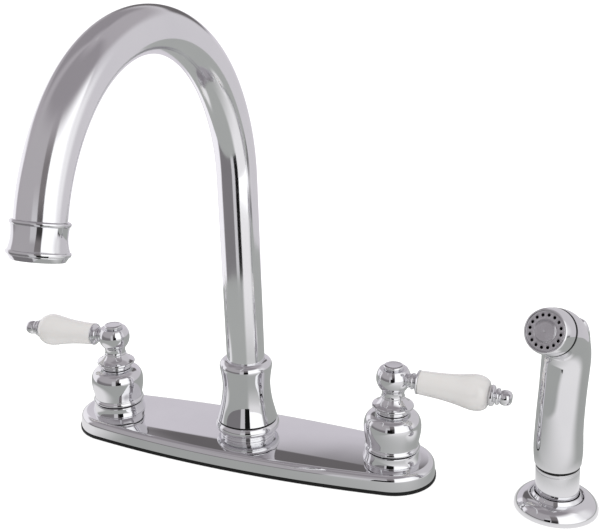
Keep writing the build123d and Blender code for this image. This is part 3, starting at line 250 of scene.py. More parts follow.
def piece(name, node, points, faces, material, crease=38.0):
    """Makes a mesh from points in millimetres, joins its seams, turns its faces out, and puts it in the place
    of a CAD node. Edges that turn by more than crease degrees stay sharp."""
    mesh = bpy.data.meshes.new(name)
    mesh.from_pydata((points * MM).tolist(), [], faces.tolist())
    shape = bmesh.new()
    shape.from_mesh(mesh)
    bmesh.ops.remove_doubles(shape, verts=shape.verts, dist=WELD)
    bmesh.ops.dissolve_degenerate(shape, edges=shape.edges, dist=SLIVER)
    bmesh.ops.recalc_face_normals(shape, faces=shape.faces)
    shape.to_mesh(mesh)
    shape.free()
    mesh.shade_smooth()
    mesh.set_sharp_from_angle(angle=math.radians(crease))
    obj = bpy.data.objects.new(name, mesh)
    bpy.context.collection.objects.link(obj)
    mesh.materials.append(material)
    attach(obj, BODY_OF[node])
    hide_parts(node)
    return obj


def bend(points, steps=10):
    """Outline points (r, z, 0) of a smooth curve through the given (r, z).

    Each coordinate is a natural cubic spline over chord length: second derivatives m from one tridiagonal
    system, then a p0 + b p1 + ((a^3 - a) m0 + (b^3 - b) m1) h^2 / 6 between neighbours of share a and b."""
    p = np.array(points, float)
    t = np.r_[0, np.cumsum(np.linalg.norm(np.diff(p, axis=0), axis=1))]
    h = np.diff(t)
    n = len(p)
    system = np.eye(n)
    right = np.zeros_like(p)
    for i in range(1, n - 1):
        system[i, i - 1:i + 2] = h[i - 1], 2 * (h[i - 1] + h[i]), h[i]
        right[i] = 6 * ((p[i + 1] - p[i]) / h[i] - (p[i] - p[i - 1]) / h[i - 1])
    m = np.linalg.solve(system, right)
    s = np.linspace(0, t[-1], (n - 1) * steps + 1)
    k = np.clip(np.searchsorted(t, s, side="right") - 1, 0, n - 2)
    a, b = ((t[k + 1] - s) / h[k])[:, None], ((s - t[k]) / h[k])[:, None]
    hk = h[k][:, None]
    out = a * p[k] + b * p[k + 1] + ((a**3 - a) * m[k] + (b**3 - b) * m[k + 1]) * hk**2 / 6
    return [(r, z, 0.0) for r, z in out]


def rounded(corners, steps=6):
    """Closed outline through the corners (r, z, fillet), each corner replaced by an arc of its fillet radius.

    The arc's centre lies on the corner's bisector, radius / sin(half angle) away."""
    c = [np.array(v[:2], float) for v in corners]
    fillet = [v[2] for v in corners]
    out = []
    for i, here in enumerate(c):
        before, after = c[i - 1], c[(i + 1) % len(c)]
        to_before, to_after = before - here, after - here
        lb, la = np.linalg.norm(to_before), np.linalg.norm(to_after)
        if fillet[i] <= 0 or lb < 1e-6 or la < 1e-6:
            out.append(here)
            continue
        ub, ua = to_before / lb, to_after / la
        half = 0.5 * math.acos(float(np.clip(ub @ ua, -1, 1)))
        reach = min(fillet[i] / math.tan(half), 0.49 * lb, 0.49 * la)
        radius = reach * math.tan(half)
        middle = (ub + ua) / np.linalg.norm(ub + ua)
        centre = here + middle * radius / math.sin(half)
        start, end = here + ub * reach - centre, here + ua * reach - centre
        a0, a1 = math.atan2(start[1], start[0]), math.atan2(end[1], end[0])
        sweep = (a1 - a0 + math.pi) % (2 * math.pi) - math.pi
        angles = a0 + sweep * np.linspace(0, 1, steps + 1)
        out.extend(centre + radius * np.stack([np.cos(angles), np.sin(angles)], axis=1))
    return np.array(out)


def frame_along(axis):
    """Three unit vectors: two square to the axis, and the axis."""
    w = np.array(axis, float)
    w /= np.linalg.norm(w)
    helper = np.array([0.0, 1.0, 0.0]) if abs(w[1]) < 0.9 else np.array([1.0, 0.0, 0.0])
    u = np.cross(helper, w)
    u /= np.linalg.norm(u)
    return u, np.cross(w, u), w


def turned(name, node, corners, origin=(0, 0, 0), axis=(0, 0, 1), turns=TURNS, material=None):
    """A lathe-turned piece: its half section (r, z) carried round, origin + r (cos a u + sin a v) + z w."""
    outline = rounded(corners)
    u, v, w = frame_along(axis)
    angle = np.linspace(0, 2 * math.pi, turns, endpoint=False)[None, :]
    r, z = np.broadcast_arrays(outline[:, :1] + 0 * angle, outline[:, 1:] + 0 * angle)
    points = (np.asarray(origin, float) + (r * np.cos(angle))[..., None] * u
              + (r * np.sin(angle))[..., None] * v + z[..., None] * w)
    faces = grid_faces(len(outline), turns, True, True)
    return piece(name, node, points.reshape(-1, 3), faces, material or FINISHES[SLOT_OF[node]])


def soft_step(x, width):
    """0 below zero and 1 above, by t^2 (3 - 2 t) over a width."""
    t = np.clip(x / width + 0.5, 0, 1)
    return t * t * (3 - 2 * t)


# ------------------------------------------------------------------ deck plate and gasket

def oval_edge(inset, around):
    """Points on the plate's oval moved in by inset, for around from 0 to 1: end, side, end, side.

    The round ends are centred at x = +-end x; the wide side arcs are centred on x = 0, with the radius that
    makes them tangent to the ends."""
    side_r = (PLATE_END_X**2 + PLATE_HALF_WIDTH**2 - PLATE_END_R**2) / (2 * (PLATE_HALF_WIDTH - PLATE_END_R))
    lean = math.atan2(PLATE_END_X, side_r - PLATE_HALF_WIDTH)
    end_turn = math.pi - 2 * lean
    quarter = (around * 4) % 4
    k = np.floor(quarter)
    t = quarter - k
    side = (k % 2) == 1
    flip = np.where(k >= 2, -1.0, 1.0)
    end_angle = -end_turn / 2 + end_turn * t
    ex = PLATE_END_X + (PLATE_END_R - inset) * np.cos(end_angle)
    ey = (PLATE_END_R - inset) * np.sin(end_angle)
    side_angle = lean - 2 * lean * t
    sx = (side_r - inset) * np.sin(side_angle)
    sy = PLATE_HALF_WIDTH - side_r + (side_r - inset) * np.cos(side_angle)
    x = np.where(side, sx, ex) * flip
    y = np.where(side, sy, ey) * flip
    return x, y


def apron_drop(x, y):
    """How far the top lies below its flat, slot-shaped middle: slope d + curve d^2, d the distance outside it.

    The drop fades to nothing at the plate's round ends."""
    spine = np.clip(x, -PLATE_END_X, PLATE_END_X)
    outside = np.maximum(0.0, np.hypot(x - spine, y) - FLAT_HALF_WIDTH)
    fade = 1 - soft_step(np.abs(x) - APRON_FADE_X, APRON_FADE_WIDTH)
    return (APRON_SLOPE * outside + APRON_CURVE * outside**2) * fade


def plate_skin():
    """The plate: a section carried round the oval, from the foot up the wall and over the shoulder.

    From there rows run in to the slot-shaped middle and on to the middle line, (1 - t) edge + t inner, and the
    inside comes back out in the same way. All of it is lowered by apron_drop, in proportion to its height."""
    around = np.linspace(0, 1, 480, endpoint=False)[None, :]
    wall = rounded([(4.0, PLATE_BOTTOM, 0), (0.45, PLATE_BOTTOM, 0.25), (1.4, PLATE_TOP, 7.0),
                    (PLATE_SHOULDER_IN, PLATE_TOP, 0), (PLATE_SHOULDER_IN, PLATE_INSIDE, 0),
                    (4.8, PLATE_INSIDE, 1.0)], 18)
    start = int(np.argmin(np.abs(wall[:, 0] - PLATE_SHOULDER_IN) + np.abs(wall[:, 1] - PLATE_TOP)))
    rows = [[*oval_edge(inset, around), z] for inset, z in wall]
    x, y = oval_edge(PLATE_SHOULDER_IN, around)
    spine = np.clip(x, -PLATE_END_X, PLATE_END_X)
    inwards = np.minimum(1.0, FLAT_HALF_WIDTH / np.hypot(x - spine, y))
    edge_x, edge_y = spine + (x - spine) * inwards, y * inwards

    def middle(z, steps):
        """Rows at height z from the shoulder to the flat's edge, then to the middle line."""
        share = np.linspace(0, 1, steps)[1:]
        return ([[x + (edge_x - x) * t, y + (edge_y - y) * t, z] for t in share]
                + [[edge_x + (spine - edge_x) * t, edge_y * (1 - t), z] for t in share])

    top = middle(PLATE_TOP, 12)
    rows = rows[:start + 1] + top + middle(PLATE_INSIDE, 5)[::-1] + rows[start + 1:]
    x, y, z = (np.concatenate([row[i] + 0 * around for row in rows]) for i in range(3))
    z = z - apron_drop(x, y) * (z - PLATE_BOTTOM) / (PLATE_TOP - PLATE_BOTTOM)
    faces = grid_faces(len(rows), around.shape[1], True, True).reshape(len(rows), -1, 4)
    # the strip from the top's middle line down to the inside's would be a wall within the plate
    faces = np.delete(faces, start + len(top), axis=0)
    return np.stack([x, y, z], axis=-1).reshape(-1, 3), faces.reshape(-1, 4)


piece("base_plate", "deck_plate", *plate_skin(), CHROME, 50.0)


def gasket_band():
    """The gasket's rounded section (inset, z) carried round the plate's oval."""
    around = np.linspace(0, 1, 360, endpoint=False)[None, :]
    section = rounded([(0.0, 0.0, 0.3), (0.0, PLATE_BOTTOM, 0.3), (GASKET_WIDTH, PLATE_BOTTOM, 0.3),
                       (GASKET_WIDTH, 0.0, 0.3)], 4)
    x, y = oval_edge(section[:, 0][:, None], around)
    z = section[:, 1][:, None] + 0 * x
    return np.stack([x, y, z], axis=-1).reshape(-1, 3), grid_faces(len(section), around.shape[1], True, True)


piece("plate_gasket", "deck_gasket", *gasket_band(), RUBBER)


# ------------------------------------------------------------------ centre column

turned("spout_foot", "spout_base_ring",
       [(11.7, PLATE_TOP, 0), (18.6, PLATE_TOP, 0.3), (18.6, 14.0, 0.5), (17.8, 14.4, 0.15),
        (17.8, 14.9, 0.15), (18.3, 15.6, 0.4)]
       + bend([(18.5, 16.0), (20.4, 16.7), (21.55, 18.4), (21.4, 20.4), (20.5, 22.1)], 8)
       + [(20.0, 22.6, 0.3), (11.7, 22.6, 0)])
turned("swivel_ring", "swivel_washer",
       [(11.7, 22.6, 0), (19.4, 22.6, 0.1), (19.4, 23.2, 0.1), (11.7, 23.2, 0)], material=RUBBER)
turned("column_flare", "spout_collar",
       [(12.0, 23.5, 0), (19.9, 23.5, 0.3)]
       + bend([(20.2, 23.9), (19.1, 28.0), (17.35, 35.5), (16.2, 44.5), (16.1, 50.0), (16.75, 56.0),
               (17.45, 60.5)], 10)
       + bend([(17.58, 61.7), (17.3, 63.2), (16.2, 64.9), (14.6, 66.0), (13.4, 66.3)], 6)
       + [(12.65, 66.3, 0.15), (12.65, 44.0, 0), (12.0, 44.0, 0)])

# ------------------------------------------------------------------ handles

for side, sign in (("left", -1), ("right", 1)):
    foot = (sign * HANDLE_X, 0, 0)
    turned(f"{side}_foot_ring", f"{side}_base_ring",
           [(12.1, PLATE_TOP, 0), (18.55, PLATE_TOP, 0.2), (18.6, 13.1, 0.3)]
           + bend([(18.45, 13.6), (18.1, 14.9), (17.75, 16.6), (17.5, 18.3)], 7)
           + [(17.35, 18.95, 0.3), (16.8, 19.2, 0), (12.1, 19.2, 0)], foot)
    turned(f"{side}_shadow_ring", f"{side}_bell_seal",
           [(12.1, 19.2, 0), (16.6, 19.2, 0.2), (16.6, 20.1, 0.2), (12.1, 20.1, 0)], foot)
    turned(f"{side}_bell_shell", f"{side}_bell",
           [(11.85, 20.1, 0), (17.2, 20.1, 0.2)]
           + bend([(17.55, 20.25), (17.75, 20.75), (17.62, 21.5), (17.3, 22.2), (16.9, 22.75)], 6)
           + bend([(16.75, 23.4), (17.05, 25.5), (17.9, 30.0), (18.28, 34.8), (17.75, 39.0), (15.9, 42.4),
                   (13.2, 44.1), (11.0, 44.6)], 9)
           + [(4.6, 44.6, 0.2), (4.6, 37.3, 0), (11.7, 37.3, 0), (14.2, 34.8, 1), (14.2, 25.4, 1),
              (11.85, 25.4, 0)], foot)
    turned(f"{side}_hub_shell", f"{side}_handle_hub",
           [(4.15, 44.95, 0), (10.6, 44.95, 0.5), (10.85, 46.1, 0.8), (10.6, 47.0, 0.5), (9.8, 47.2, 0.2),
            (9.8, 47.9, 0.3), (12.9, 48.3, 0.3), (13.3, 49.0, 0.5), (13.1, 49.9, 0.35)]
           + bend([(12.4, 50.0), (10.4, 51.2), (8.5, 53.2), (7.4, 54.7)], 8)
           + [(7.3, 55.0, 0.1), (7.6, 55.2, 0.15), (7.6, 55.75, 0.2), (7.35, 55.95, 0.1)]
           + bend([(7.2, 56.2), (7.05, 57.4), (7.2, 58.9)], 6)
           + [(BALL_R * math.cos(a), BALL_Z + BALL_R * math.sin(a), 0)
              for a in np.radians(np.linspace(-46.7, 36.5, 44))]
           + [(4.55, 74.4, 0), (4.55, 68.0, 0), (2.1, 68.0, 0), (2.1, 62.0, 0), (4.15, 62.0, 0)],
           foot, turns=160)
    turned(f"{side}_cap", f"{side}_index_button",
           [(0, 71.4, 0), (4.5, 71.4, 0), (4.5, 74.4, 0), (5.7, 74.4, 0.1), (5.8, 74.8, 0.1),
            (6.5, 75.1, 0.3), (6.5, 76.0, 0.4), (6.0, 76.7, 0.5), (4.8, 76.8, 0.2), (4.6, 76.65, 0.15),
            (0, 76.75, 0)], foot)
    drop = math.radians(LEVER_DROP)
    ball = (sign * HANDLE_X, 0, BALL_Z)
    out = (sign * math.cos(drop), 0, -math.sin(drop))
    turned(f"{side}_ferrule", f"{side}_lever_ferrule",
           [(2.1, 9.8, 0), (4.5, 9.8, 0.15), (4.5, 11.0, 0.3), (3.8, 11.15, 0.1), (3.8, 11.5, 0.1),
            (5.1, 11.7, 0.4), (5.35, 12.5, 0.6), (5.1, 13.2, 0.4), (4.5, 13.4, 0.1), (4.5, 13.8, 0.15),
            (5.0, 14.3, 0.6), (6.4, 15.2, 1.0), (7.5, 15.4, 0.3), (7.8, 15.9, 0.3), (7.5, 16.6, 0.3),
            (2.1, 16.6, 0)], ball, out, turns=96)
    turned(f"{side}_china_lever", f"{side}_porcelain_lever",
           [(2.2, 16.6, 0), (7.1, 16.6, 0.4)]
           + bend([(7.5, 17.1), (7.85, 24.0), (8.2, 30.0), (8.85, 36.0), (9.75, 42.0), (10.75, 47.0),
                   (11.2, 51.2), (10.85, 54.8), (9.9, 57.2), (8.5, 58.9), (6.6, 59.75)], 9)
           + [(6.2, 59.8, 0), (2.2, 59.8, 0)], ball, out)
    turned(f"{side}_finial_end", f"{side}_finial",
           [(2.05, 59.8, 0), (5.9, 59.8, 0.4), (6.7, 61.1, 0.8), (6.55, 62.3, 0.8), (5.6, 63.0, 0.4),
            (4.4, 63.2, 0.2), (4.4, 63.8, 0.2), (5.1, 64.2, 0.4), (5.3, 65.0, 0.5), (5.1, 65.8, 0.4),
            (4.0, 66.1, 0.2)]
           + bend([(3.8, 66.4), (4.5, 67.6), (4.85, 69.4), (4.6, 71.3), (3.7, 72.7), (2.5, 73.4)], 7)
           + [(0, 73.4, 0), (0, 68.2, 0), (2.05, 68.2, 0)], ball, out, turns=96)


# ------------------------------------------------------------------ tubes along a path

def run_along(start, heading, pieces, step):
    """Points, headings and lengths along straight runs and arcs: each piece is (length, turn), evenly curved.

    The heading a is in radians from upright towards the reach; a point moves by the integral of
    (sin a, cos a)."""
    points, headings, lengths = [np.array([start])], [np.array([heading])], [np.array([0.0])]
    here, a, s0 = np.array(start, float), heading, 0.0
    for length, turn in pieces:
        n = max(2, int(math.ceil(length / step)))
        s = np.linspace(0, length, n + 1)[1:]
        k = turn / length
        if abs(k) < 1e-9:
            dx, dz = np.sin(a) * s, np.cos(a) * s
        else:
            dx, dz = (np.cos(a) - np.cos(a + k * s)) / k, (np.sin(a + k * s) - np.sin(a)) / k
        points.append(here + np.stack([dx, dz], axis=1))
        headings.append(a + k * s)
        lengths.append(s0 + s)
        here, a, s0 = points[-1][-1], a + turn, s0 + length
    return np.concatenate(points), np.concatenate(headings), np.concatenate(lengths)


def arc(radius, degrees):
    """Length and turn of an arc, for run_along."""
    return radius * math.radians(abs(degrees)), math.radians(degrees)


def step_along(heading):
    """Unit step (sin, cos) at a heading, in the path's own plane."""
    return np.array([math.sin(heading), math.cos(heading)])


def in_plane(across, up, forward):
    """A point of the upright plane of forward."""
    return across * forward + up * UP


def carried(path, headings, forward, section, origin):
    """Rings carried along a path in the upright plane of forward; section[i, k] is ring i's radius at step k.

    Point = path + radius (cos a n + sin a side), n square to the path within the plane, side square to it."""
    forward = np.asarray(forward, float)
    side = np.cross(forward, UP)
    n = in_plane(np.cos(headings)[:, None], -np.sin(headings)[:, None], forward)
    centre = np.asarray(origin, float) + in_plane(path[:, :1], path[:, 1:], forward)
    angle = np.linspace(0, 2 * math.pi, section.shape[1], endpoint=False)
    ring = np.cos(angle)[None, :, None] * n[:, None, :] + np.sin(angle)[None, :, None] * side[None, None, :]
    return centre[:, None, :] + section[..., None] * ring


# ------------------------------------------------------------------ gooseneck

TUBE_STEPS = 96                 # steps round the gooseneck
GOOSENECK = [(23.8, 0.0), arc(100.8, 1.8), (118.2, 0.0), arc(108.4, 32.0), arc(92.0, 98.1), arc(108.4, 33.5),
             (1.2, 0.0)]        # the straight riser, its slight lean, the three bends of the arch, the outlet

turn = math.radians(SPOUT_TURN)
reach = np.array([-math.sin(turn), -math.cos(turn), 0.0])
path, headings, _ = run_along((0.0, SPOUT_FOOT_Z), 0.0, GOOSENECK, 2.0)
outlet_at = in_plane(path[-1, 0], path[-1, 1], reach)
outlet_dir = in_plane(*step_along(headings[-1]), reach)
path = np.vstack([path, path[-1] + OUTLET_INSERT * step_along(headings[-1])])
headings = np.r_[headings, headings[-1]]
outer = carried(path, headings, reach, np.full((len(path), TUBE_STEPS), SPOUT_R), (0, 0, 0))
inner = carried(path, headings, reach, np.full((len(path), TUBE_STEPS), SPOUT_R - SPOUT_WALL), (0, 0, 0))
tube = np.concatenate([outer, inner[::-1]])
piece("gooseneck", "spout_tube", tube.reshape(-1, 3), grid_faces(tube.shape[0], TUBE_STEPS, True, True),
      BRIGHTENED_TUBE_CHROME)

turned("outlet_sleeve", "outlet_shell",
       [(12.65, -1.4, 0.1), (13.5, -1.4, 0.3), (14.3, -0.9, 0.5), (14.4, -0.1, 0.5), (13.9, 0.7, 0.4)]
       + bend([(13.55, 1.0), (13.25, 4.5), (13.5, 8.8), (14.35, 12.2)], 8)
       + [(14.5, 12.5, 0.2), (15.1, 12.7, 0.4), (15.2, 13.6, 0.5), (14.9, 14.5, 0.4), (14.4, 14.6, 0),
          (12.2, 14.6, 0), (12.2, 4.0, 0), (11.4, 4.0, 0), (11.4, 3.0, 0), (12.65, 3.0, 0)],
       outlet_at, outlet_dir)
turned("aerator_ring", "aerator_housing",
       [(10.9, 5.6, 0), (12.15, 5.6, 0), (12.15, 14.6, 0), (14.1, 14.6, 0.2), (14.1, 15.0, 0.3),
        (12.7, 17.2, 0.3), (10.3, 17.2, 0.2), (10.3, 16.4, 0), (10.9, 16.4, 0)], outlet_at, outlet_dir)


SCREEN_R, SCREEN_BACK, SCREEN_FACE = 10.8, 8.4, 16.2
SCREEN_HOLE_R, SCREEN_HOLE_EDGE, SCREEN_HOLE_DEPTH = 0.85, 0.25, 1.6
SCREEN_RINGS = ((2.6, 6), (5.2, 12), (7.8, 18))     # radius of each ring and its number of holes


def flow_screen():
    """A disc with rings of holes, each of depth = full depth x clamp((hole radius - distance) / edge)."""
    r = np.linspace(0, SCREEN_R, 70)[:, None]
    a = np.linspace(0, 2 * math.pi, 160, endpoint=False)[None, :]
    x, y = r * np.cos(a), r * np.sin(a)
    depth = np.zeros_like(x)
    for ring_r, count in SCREEN_RINGS:
        for c in 2 * math.pi * np.arange(count) / count:
            d = np.hypot(x - ring_r * math.cos(c), y - ring_r * math.sin(c))
            hole = np.clip((SCREEN_HOLE_R - d) / SCREEN_HOLE_EDGE, 0, 1)
            depth = np.maximum(depth, SCREEN_HOLE_DEPTH * hole)
    u, v, w = frame_along(outlet_dir)
    flat = outlet_at + x[..., None] * u + y[..., None] * v
    rows = np.concatenate([flat + (SCREEN_FACE - depth)[..., None] * w,
                           (flat + (SCREEN_BACK + 0 * x)[..., None] * w)[::-1]])
    return rows.reshape(-1, 3), grid_faces(rows.shape[0], a.shape[1], True, True)


piece("flow_screen_disc", "aerator_insert", *flow_screen(), WHITE_PLASTIC)


# ------------------------------------------------------------------ spray holder

spray_foot = (SPRAY_X, SPRAY_Y, 0)
turned("holder_flange", "spray_holder",
       [(12.0, -32.0, 0), (14.2, -32.0, 0.5), (14.2, 0, 0), (24.3, 0, 0.2)]
       + bend([(24.75, 0.6), (24.6, 2.6), (23.6, 4.9), (21.8, 7.0), (19.4, 8.6), (17.0, 9.3)], 9)
       + [(16.2, 9.3, 0.3), (15.6, 8.4, 0.2), (15.3, 7.4, 0), (15.3, 6.2, 0), (14.65, 6.2, 0),
          (14.65, 2.6, 0), (12.0, 2.6, 0)], spray_foot)
turned("holder_mouth", "holder_liner",
       [(14.05, 2.8, 0), (14.55, 2.8, 0), (14.55, 6.2, 0), (15.15, 6.2, 0), (15.15, 8.7, 0.3),
        (13.75, 10.7, 0.3), (13.35, 10.9, 0.1)], spray_foot, material=CHROME)

turn = math.radians(SPRAY_FACING)
facing = np.array([-math.sin(turn), -math.cos(turn), 0.0])
lean = math.radians(SPRAY_LEAN)
spray_up = in_plane(*step_along(lean), facing)
seat = np.array([SPRAY_X, SPRAY_Y, SPRAY_SEAT_Z])

turned("spray_barrel", "spray_sleeve",
       [(4.8, -21.0, 0.3), (8.0, -21.0, 0.5), (8.0, -6.4, 0), (12.4, -6.4, 0.4), (12.8, -5.4, 0.4),
        (12.8, 16.9, 0.15), (12.35, 17.1, 0.1), (12.35, 17.4, 0.1), (12.8, 17.6, 0.15), (12.8, 19.1, 0.15),
        (12.6, 19.3, 0), (8.0, 19.3, 0), (8.0, 31.0, 0.5), (WATERWAY_R, 31.0, 0), (WATERWAY_R, -8.0, 0),
        (4.8, -8.0, 0)], seat, spray_up)
turned("barrel_seal", "spray_seal",
       [(8.05, 19.3, 0), (12.9, 19.3, 0.15), (13.1, 20.3, 0.3), (13.1, 21.3, 0.15), (8.05, 21.3, 0)],
       seat, spray_up)

# ------------------------------------------------------------------ hand spray

GRIP_START, GRIP_STRAIGHT, GRIP_BACK_R, GRIP_BACK_TURN = 21.0, 10.7, 168.0, 9.5
GRIP_UPPER, HEAD_BEND_R, HEAD_BEND_TURN, HEAD_TAIL = 26.5, 23.0, 73.2, 4.0
GRIP_STEPS = 256                # steps round the grip
GRIP_LIP, GRIP_LIP_LENGTH = 0.45, 0.5
SPIGOT_R, SPIGOT_LENGTH = 11.9, 5.0
SOCKET_R, SOCKET_DEPTH = 8.08, 10.5
TRIGGER_LOW, TRIGGER_HIGH, TRIGGER_HALF_WIDTH = 75.5, 121.0, 8.4
WELL_GAP, WELL_FOOT, WELL_DEPTH, WELL_EDGE = 0.5, 1.3, 4.4, 0.5

grip, grip_heading, grip_length = run_along(
    np.array([0.0, SPRAY_SEAT_Z]) + GRIP_START * step_along(lean), lean,
    [(GRIP_STRAIGHT, 0.0), arc(GRIP_BACK_R, -GRIP_BACK_TURN), (GRIP_UPPER, 0.0),
     arc(HEAD_BEND_R, HEAD_BEND_TURN), (HEAD_TAIL, 0.0)], 0.45)
back_length = GRIP_BACK_R * math.radians(GRIP_BACK_TURN)
bend_length = HEAD_BEND_R * math.radians(HEAD_BEND_TURN)
bend_start = GRIP_STRAIGHT + back_length + GRIP_UPPER
# (distance along the grip, radius)
stations = [(0.0, 13.55), (7.5, 14.1), (20.5, 13.8), (36.0, 13.5), (47.0, 13.4), (bend_start, 13.6),
            (bend_start + 0.33 * bend_length, 13.6), (bend_start + 0.66 * bend_length, 13.6),
            (bend_start + bend_length, 13.55), (bend_start + bend_length + HEAD_TAIL, 13.4)]
grip_radius = np.interp(grip_length, *zip(*[(s, r) for s, r, _ in bend(stations, 20)]))


def well_mask(low, high, radius):
    """1 inside an upright slot behind the centre line between two heights, 0 outside, with a soft edge.

    Across is radius x sin a; height is the ring's own plus radius x cos a x (-sin heading)."""
    angle = np.linspace(0, 2 * math.pi, GRIP_STEPS, endpoint=False)[None, :]
    across = radius * np.sin(angle)
    height = grip[:, 1][:, None] + radius * np.cos(angle) * (-np.sin(grip_heading))[:, None]
    inside = (soft_step(TRIGGER_HALF_WIDTH + WELL_GAP - np.abs(across), WELL_EDGE)
              * soft_step(height - low, WELL_EDGE) * soft_step(high - height, WELL_EDGE))
    return np.where(np.cos(angle) < 0, inside, 0.0)


def grip_rings(centres, heading, radii):
    """Plain rings of the given radii, square to one heading, round points in the grip's plane."""
    section = np.array(radii)[:, None] + np.zeros((len(radii), GRIP_STEPS))
    return carried(np.array(centres), np.full(len(radii), heading), facing, section, spray_foot)


def grip_shell():
    """The handset's body: rings along the grip's centre line, let in by the trigger's well behind and drawn in
    at the lip by a quarter circle, then its spigot into the head, and back down the water way to the socket.

    radius = grip radius - depth x well mask - lip (1 - sqrt(1 - (1 - t)^2)), t the share of the lip's run."""
    outside = np.repeat(grip_radius[:, None], GRIP_STEPS, axis=1)
    outside = outside - WELL_DEPTH * well_mask(TRIGGER_LOW - WELL_FOOT, TRIGGER_HIGH + WELL_GAP, outside)
    lip = np.clip(grip_length / GRIP_LIP_LENGTH, 0, 1)[:, None]
    outside = outside - GRIP_LIP * (1 - np.sqrt(1 - (1 - lip) ** 2))
    shell = carried(grip, grip_heading, facing, outside, spray_foot)
    end = grip[-1] + SPIGOT_LENGTH * step_along(grip_heading[-1])
    spigot = grip_rings([grip[-1], end, end], grip_heading[-1], [SPIGOT_R, SPIGOT_R, WATERWAY_R])
    back = slice(None, None, -4)
    bore = carried(grip[back], grip_heading[back], facing,
                   np.full((len(grip[back]), GRIP_STEPS), WATERWAY_R), spray_foot)
    bore = bore[grip_length[back] > SOCKET_DEPTH]
    socket_top = grip[0] + SOCKET_DEPTH * step_along(lean)
    socket = grip_rings([socket_top, socket_top, grip[0]], lean, [WATERWAY_R, SOCKET_R, SOCKET_R])
    rows = np.concatenate([shell, spigot, bore, socket])
    return rows.reshape(-1, 3), grid_faces(rows.shape[0], GRIP_STEPS, True, True)


piece("spray_grip", "spray_body", *grip_shell(), CHROME, 42.0)

head_at = np.array(spray_foot, float) + in_plane(grip[-1, 0], grip[-1, 1], facing)
head_dir = in_plane(*step_along(grip_heading[-1]), facing)
turned("head_seal", "nozzle_gasket",
       [(11.95, 0, 0), (13.2, -0.7, 0.1), (13.6, -0.6, 0.2), (13.6, 1.15, 0.2), (11.95, 1.15, 0)],
       head_at, head_dir)
turned("head_bezel", "nozzle_bezel",
       [(11.95, 1.15, 0), (13.2, 1.15, 0.15), (13.45, 1.4, 0.15)]
       + bend([(13.5, 1.8), (13.4, 5.0), (13.0, 8.4), (12.6, 10.2)], 8)
       + [(12.4, 10.9, 0.5), (11.95, 11.6, 0.3), (11.45, 11.5, 0.2), (11.4, 9.7, 0), (11.95, 9.7, 0)],
       head_at, head_dir)


NOZZLES, NOZZLE_RING_R, NOZZLE_R, NOZZLE_DEPTH = 16, 9.0, 0.80, 2.6
NOZZLE_DARK_BELOW = 9.4         # the height along the head's axis where light stops
ROSE_R, ROSE_RIM_R, ROSE_FACE, ROSE_SEAT, ROSE_BACK = 11.35, 11.9, 11.0, 9.65, 8.0
ROSE_CENTRE_R, ROSE_CENTRE_RISE = 5.85, 0.5
TOOL_MARK_PITCH, TOOL_MARK = 0.55, 0.014


def bell_curve(x, width):
    """exp(-(x / width)^2)."""
    return np.exp(-(x / width) ** 2)


def spray_rose():
    """The spray's face: height(r, a) on a disc, sewn to a plain back.

    Added to the face: a raised centre (soft step) with a groove and a lip round it (bell curves), a pip in its
    middle, turned rings 0.014 cos(2 pi r / 0.55), a drop at the rim, and for each nozzle a shallow dimple (bell
    curve) with a hole in it (soft step), d being the distance to the nearest nozzle of the ring."""
    r = np.r_[np.linspace(0, 5.0, 62), np.linspace(5.1, 6.3, 16), np.linspace(6.4, ROSE_R, 66)][:, None]
    a = np.linspace(0, 2 * math.pi, 384, endpoint=False)[None, :]
    x, y = r * np.cos(a), r * np.sin(a)
    height = ROSE_FACE + 0 * x
    height = height + ROSE_CENTRE_RISE * soft_step(ROSE_CENTRE_R - r, 0.35) - 0.25 * bell_curve(r - 6.3, 0.25)
    height = height + 0.10 * bell_curve(r - 5.5, 0.25) + 0.35 * bell_curve(r, 0.45)
    height = height - 0.25 * soft_step(r - 10.9, 0.5)
    height = height + TOOL_MARK * np.cos(2 * math.pi * r / TOOL_MARK_PITCH) * soft_step(4.9 - r, 0.6)
    pitch = 2 * math.pi / NOZZLES
    nearest = np.round(a / pitch) * pitch
    d = np.hypot(x - NOZZLE_RING_R * np.cos(nearest), y - NOZZLE_RING_R * np.sin(nearest))
    height = height - 0.28 * bell_curve(d, 1.25) - NOZZLE_DEPTH * soft_step(NOZZLE_R - d, 0.16)
    u, v, w = frame_along(head_dir)
    front = head_at + x[..., None] * u + y[..., None] * v + height[..., None] * w
    back_r = np.array([ROSE_R, ROSE_RIM_R, ROSE_RIM_R, 0.0])[:, None]
    back_z = np.array([ROSE_SEAT, ROSE_SEAT, ROSE_BACK, ROSE_BACK])[:, None] + 0 * a
    back = (head_at + (back_r * np.cos(a))[..., None] * u + (back_r * np.sin(a))[..., None] * v
            + back_z[..., None] * w)
    rows = np.concatenate([front, back])
    return rows.reshape(-1, 3), grid_faces(rows.shape[0], a.shape[1], True, True)


piece("spray_rose_disc", "spray_face", *spray_rose(), satin_chrome(head_at, head_dir), 50.0)


TRIGGER_RISE, TRIGGER_SUNK, TRIGGER_EDGE = 2.7, 0.8, 1.1
TRIGGER_FOOT, TRIGGER_HEAD_TURN = 1.0, 39.5     # it runs from a height below its low edge to this heading
TRIGGER_END_LENGTH, TRIGGER_END_NARROWING = 4.0, 3.2
TRIGGER_SWELL, TRIGGER_SWELL_AT, TRIGGER_SWELL_LENGTH = 0.35, 0.12, 0.10


def quarter_round(share):
    """1 - sqrt(1 - (1 - t)^2): 1 at an edge and 0 from t = 1 on, as a quarter circle falls."""
    return 1 - np.sqrt(np.clip(1 - (1 - np.clip(share, 0, 1)) ** 2, 0, 1))


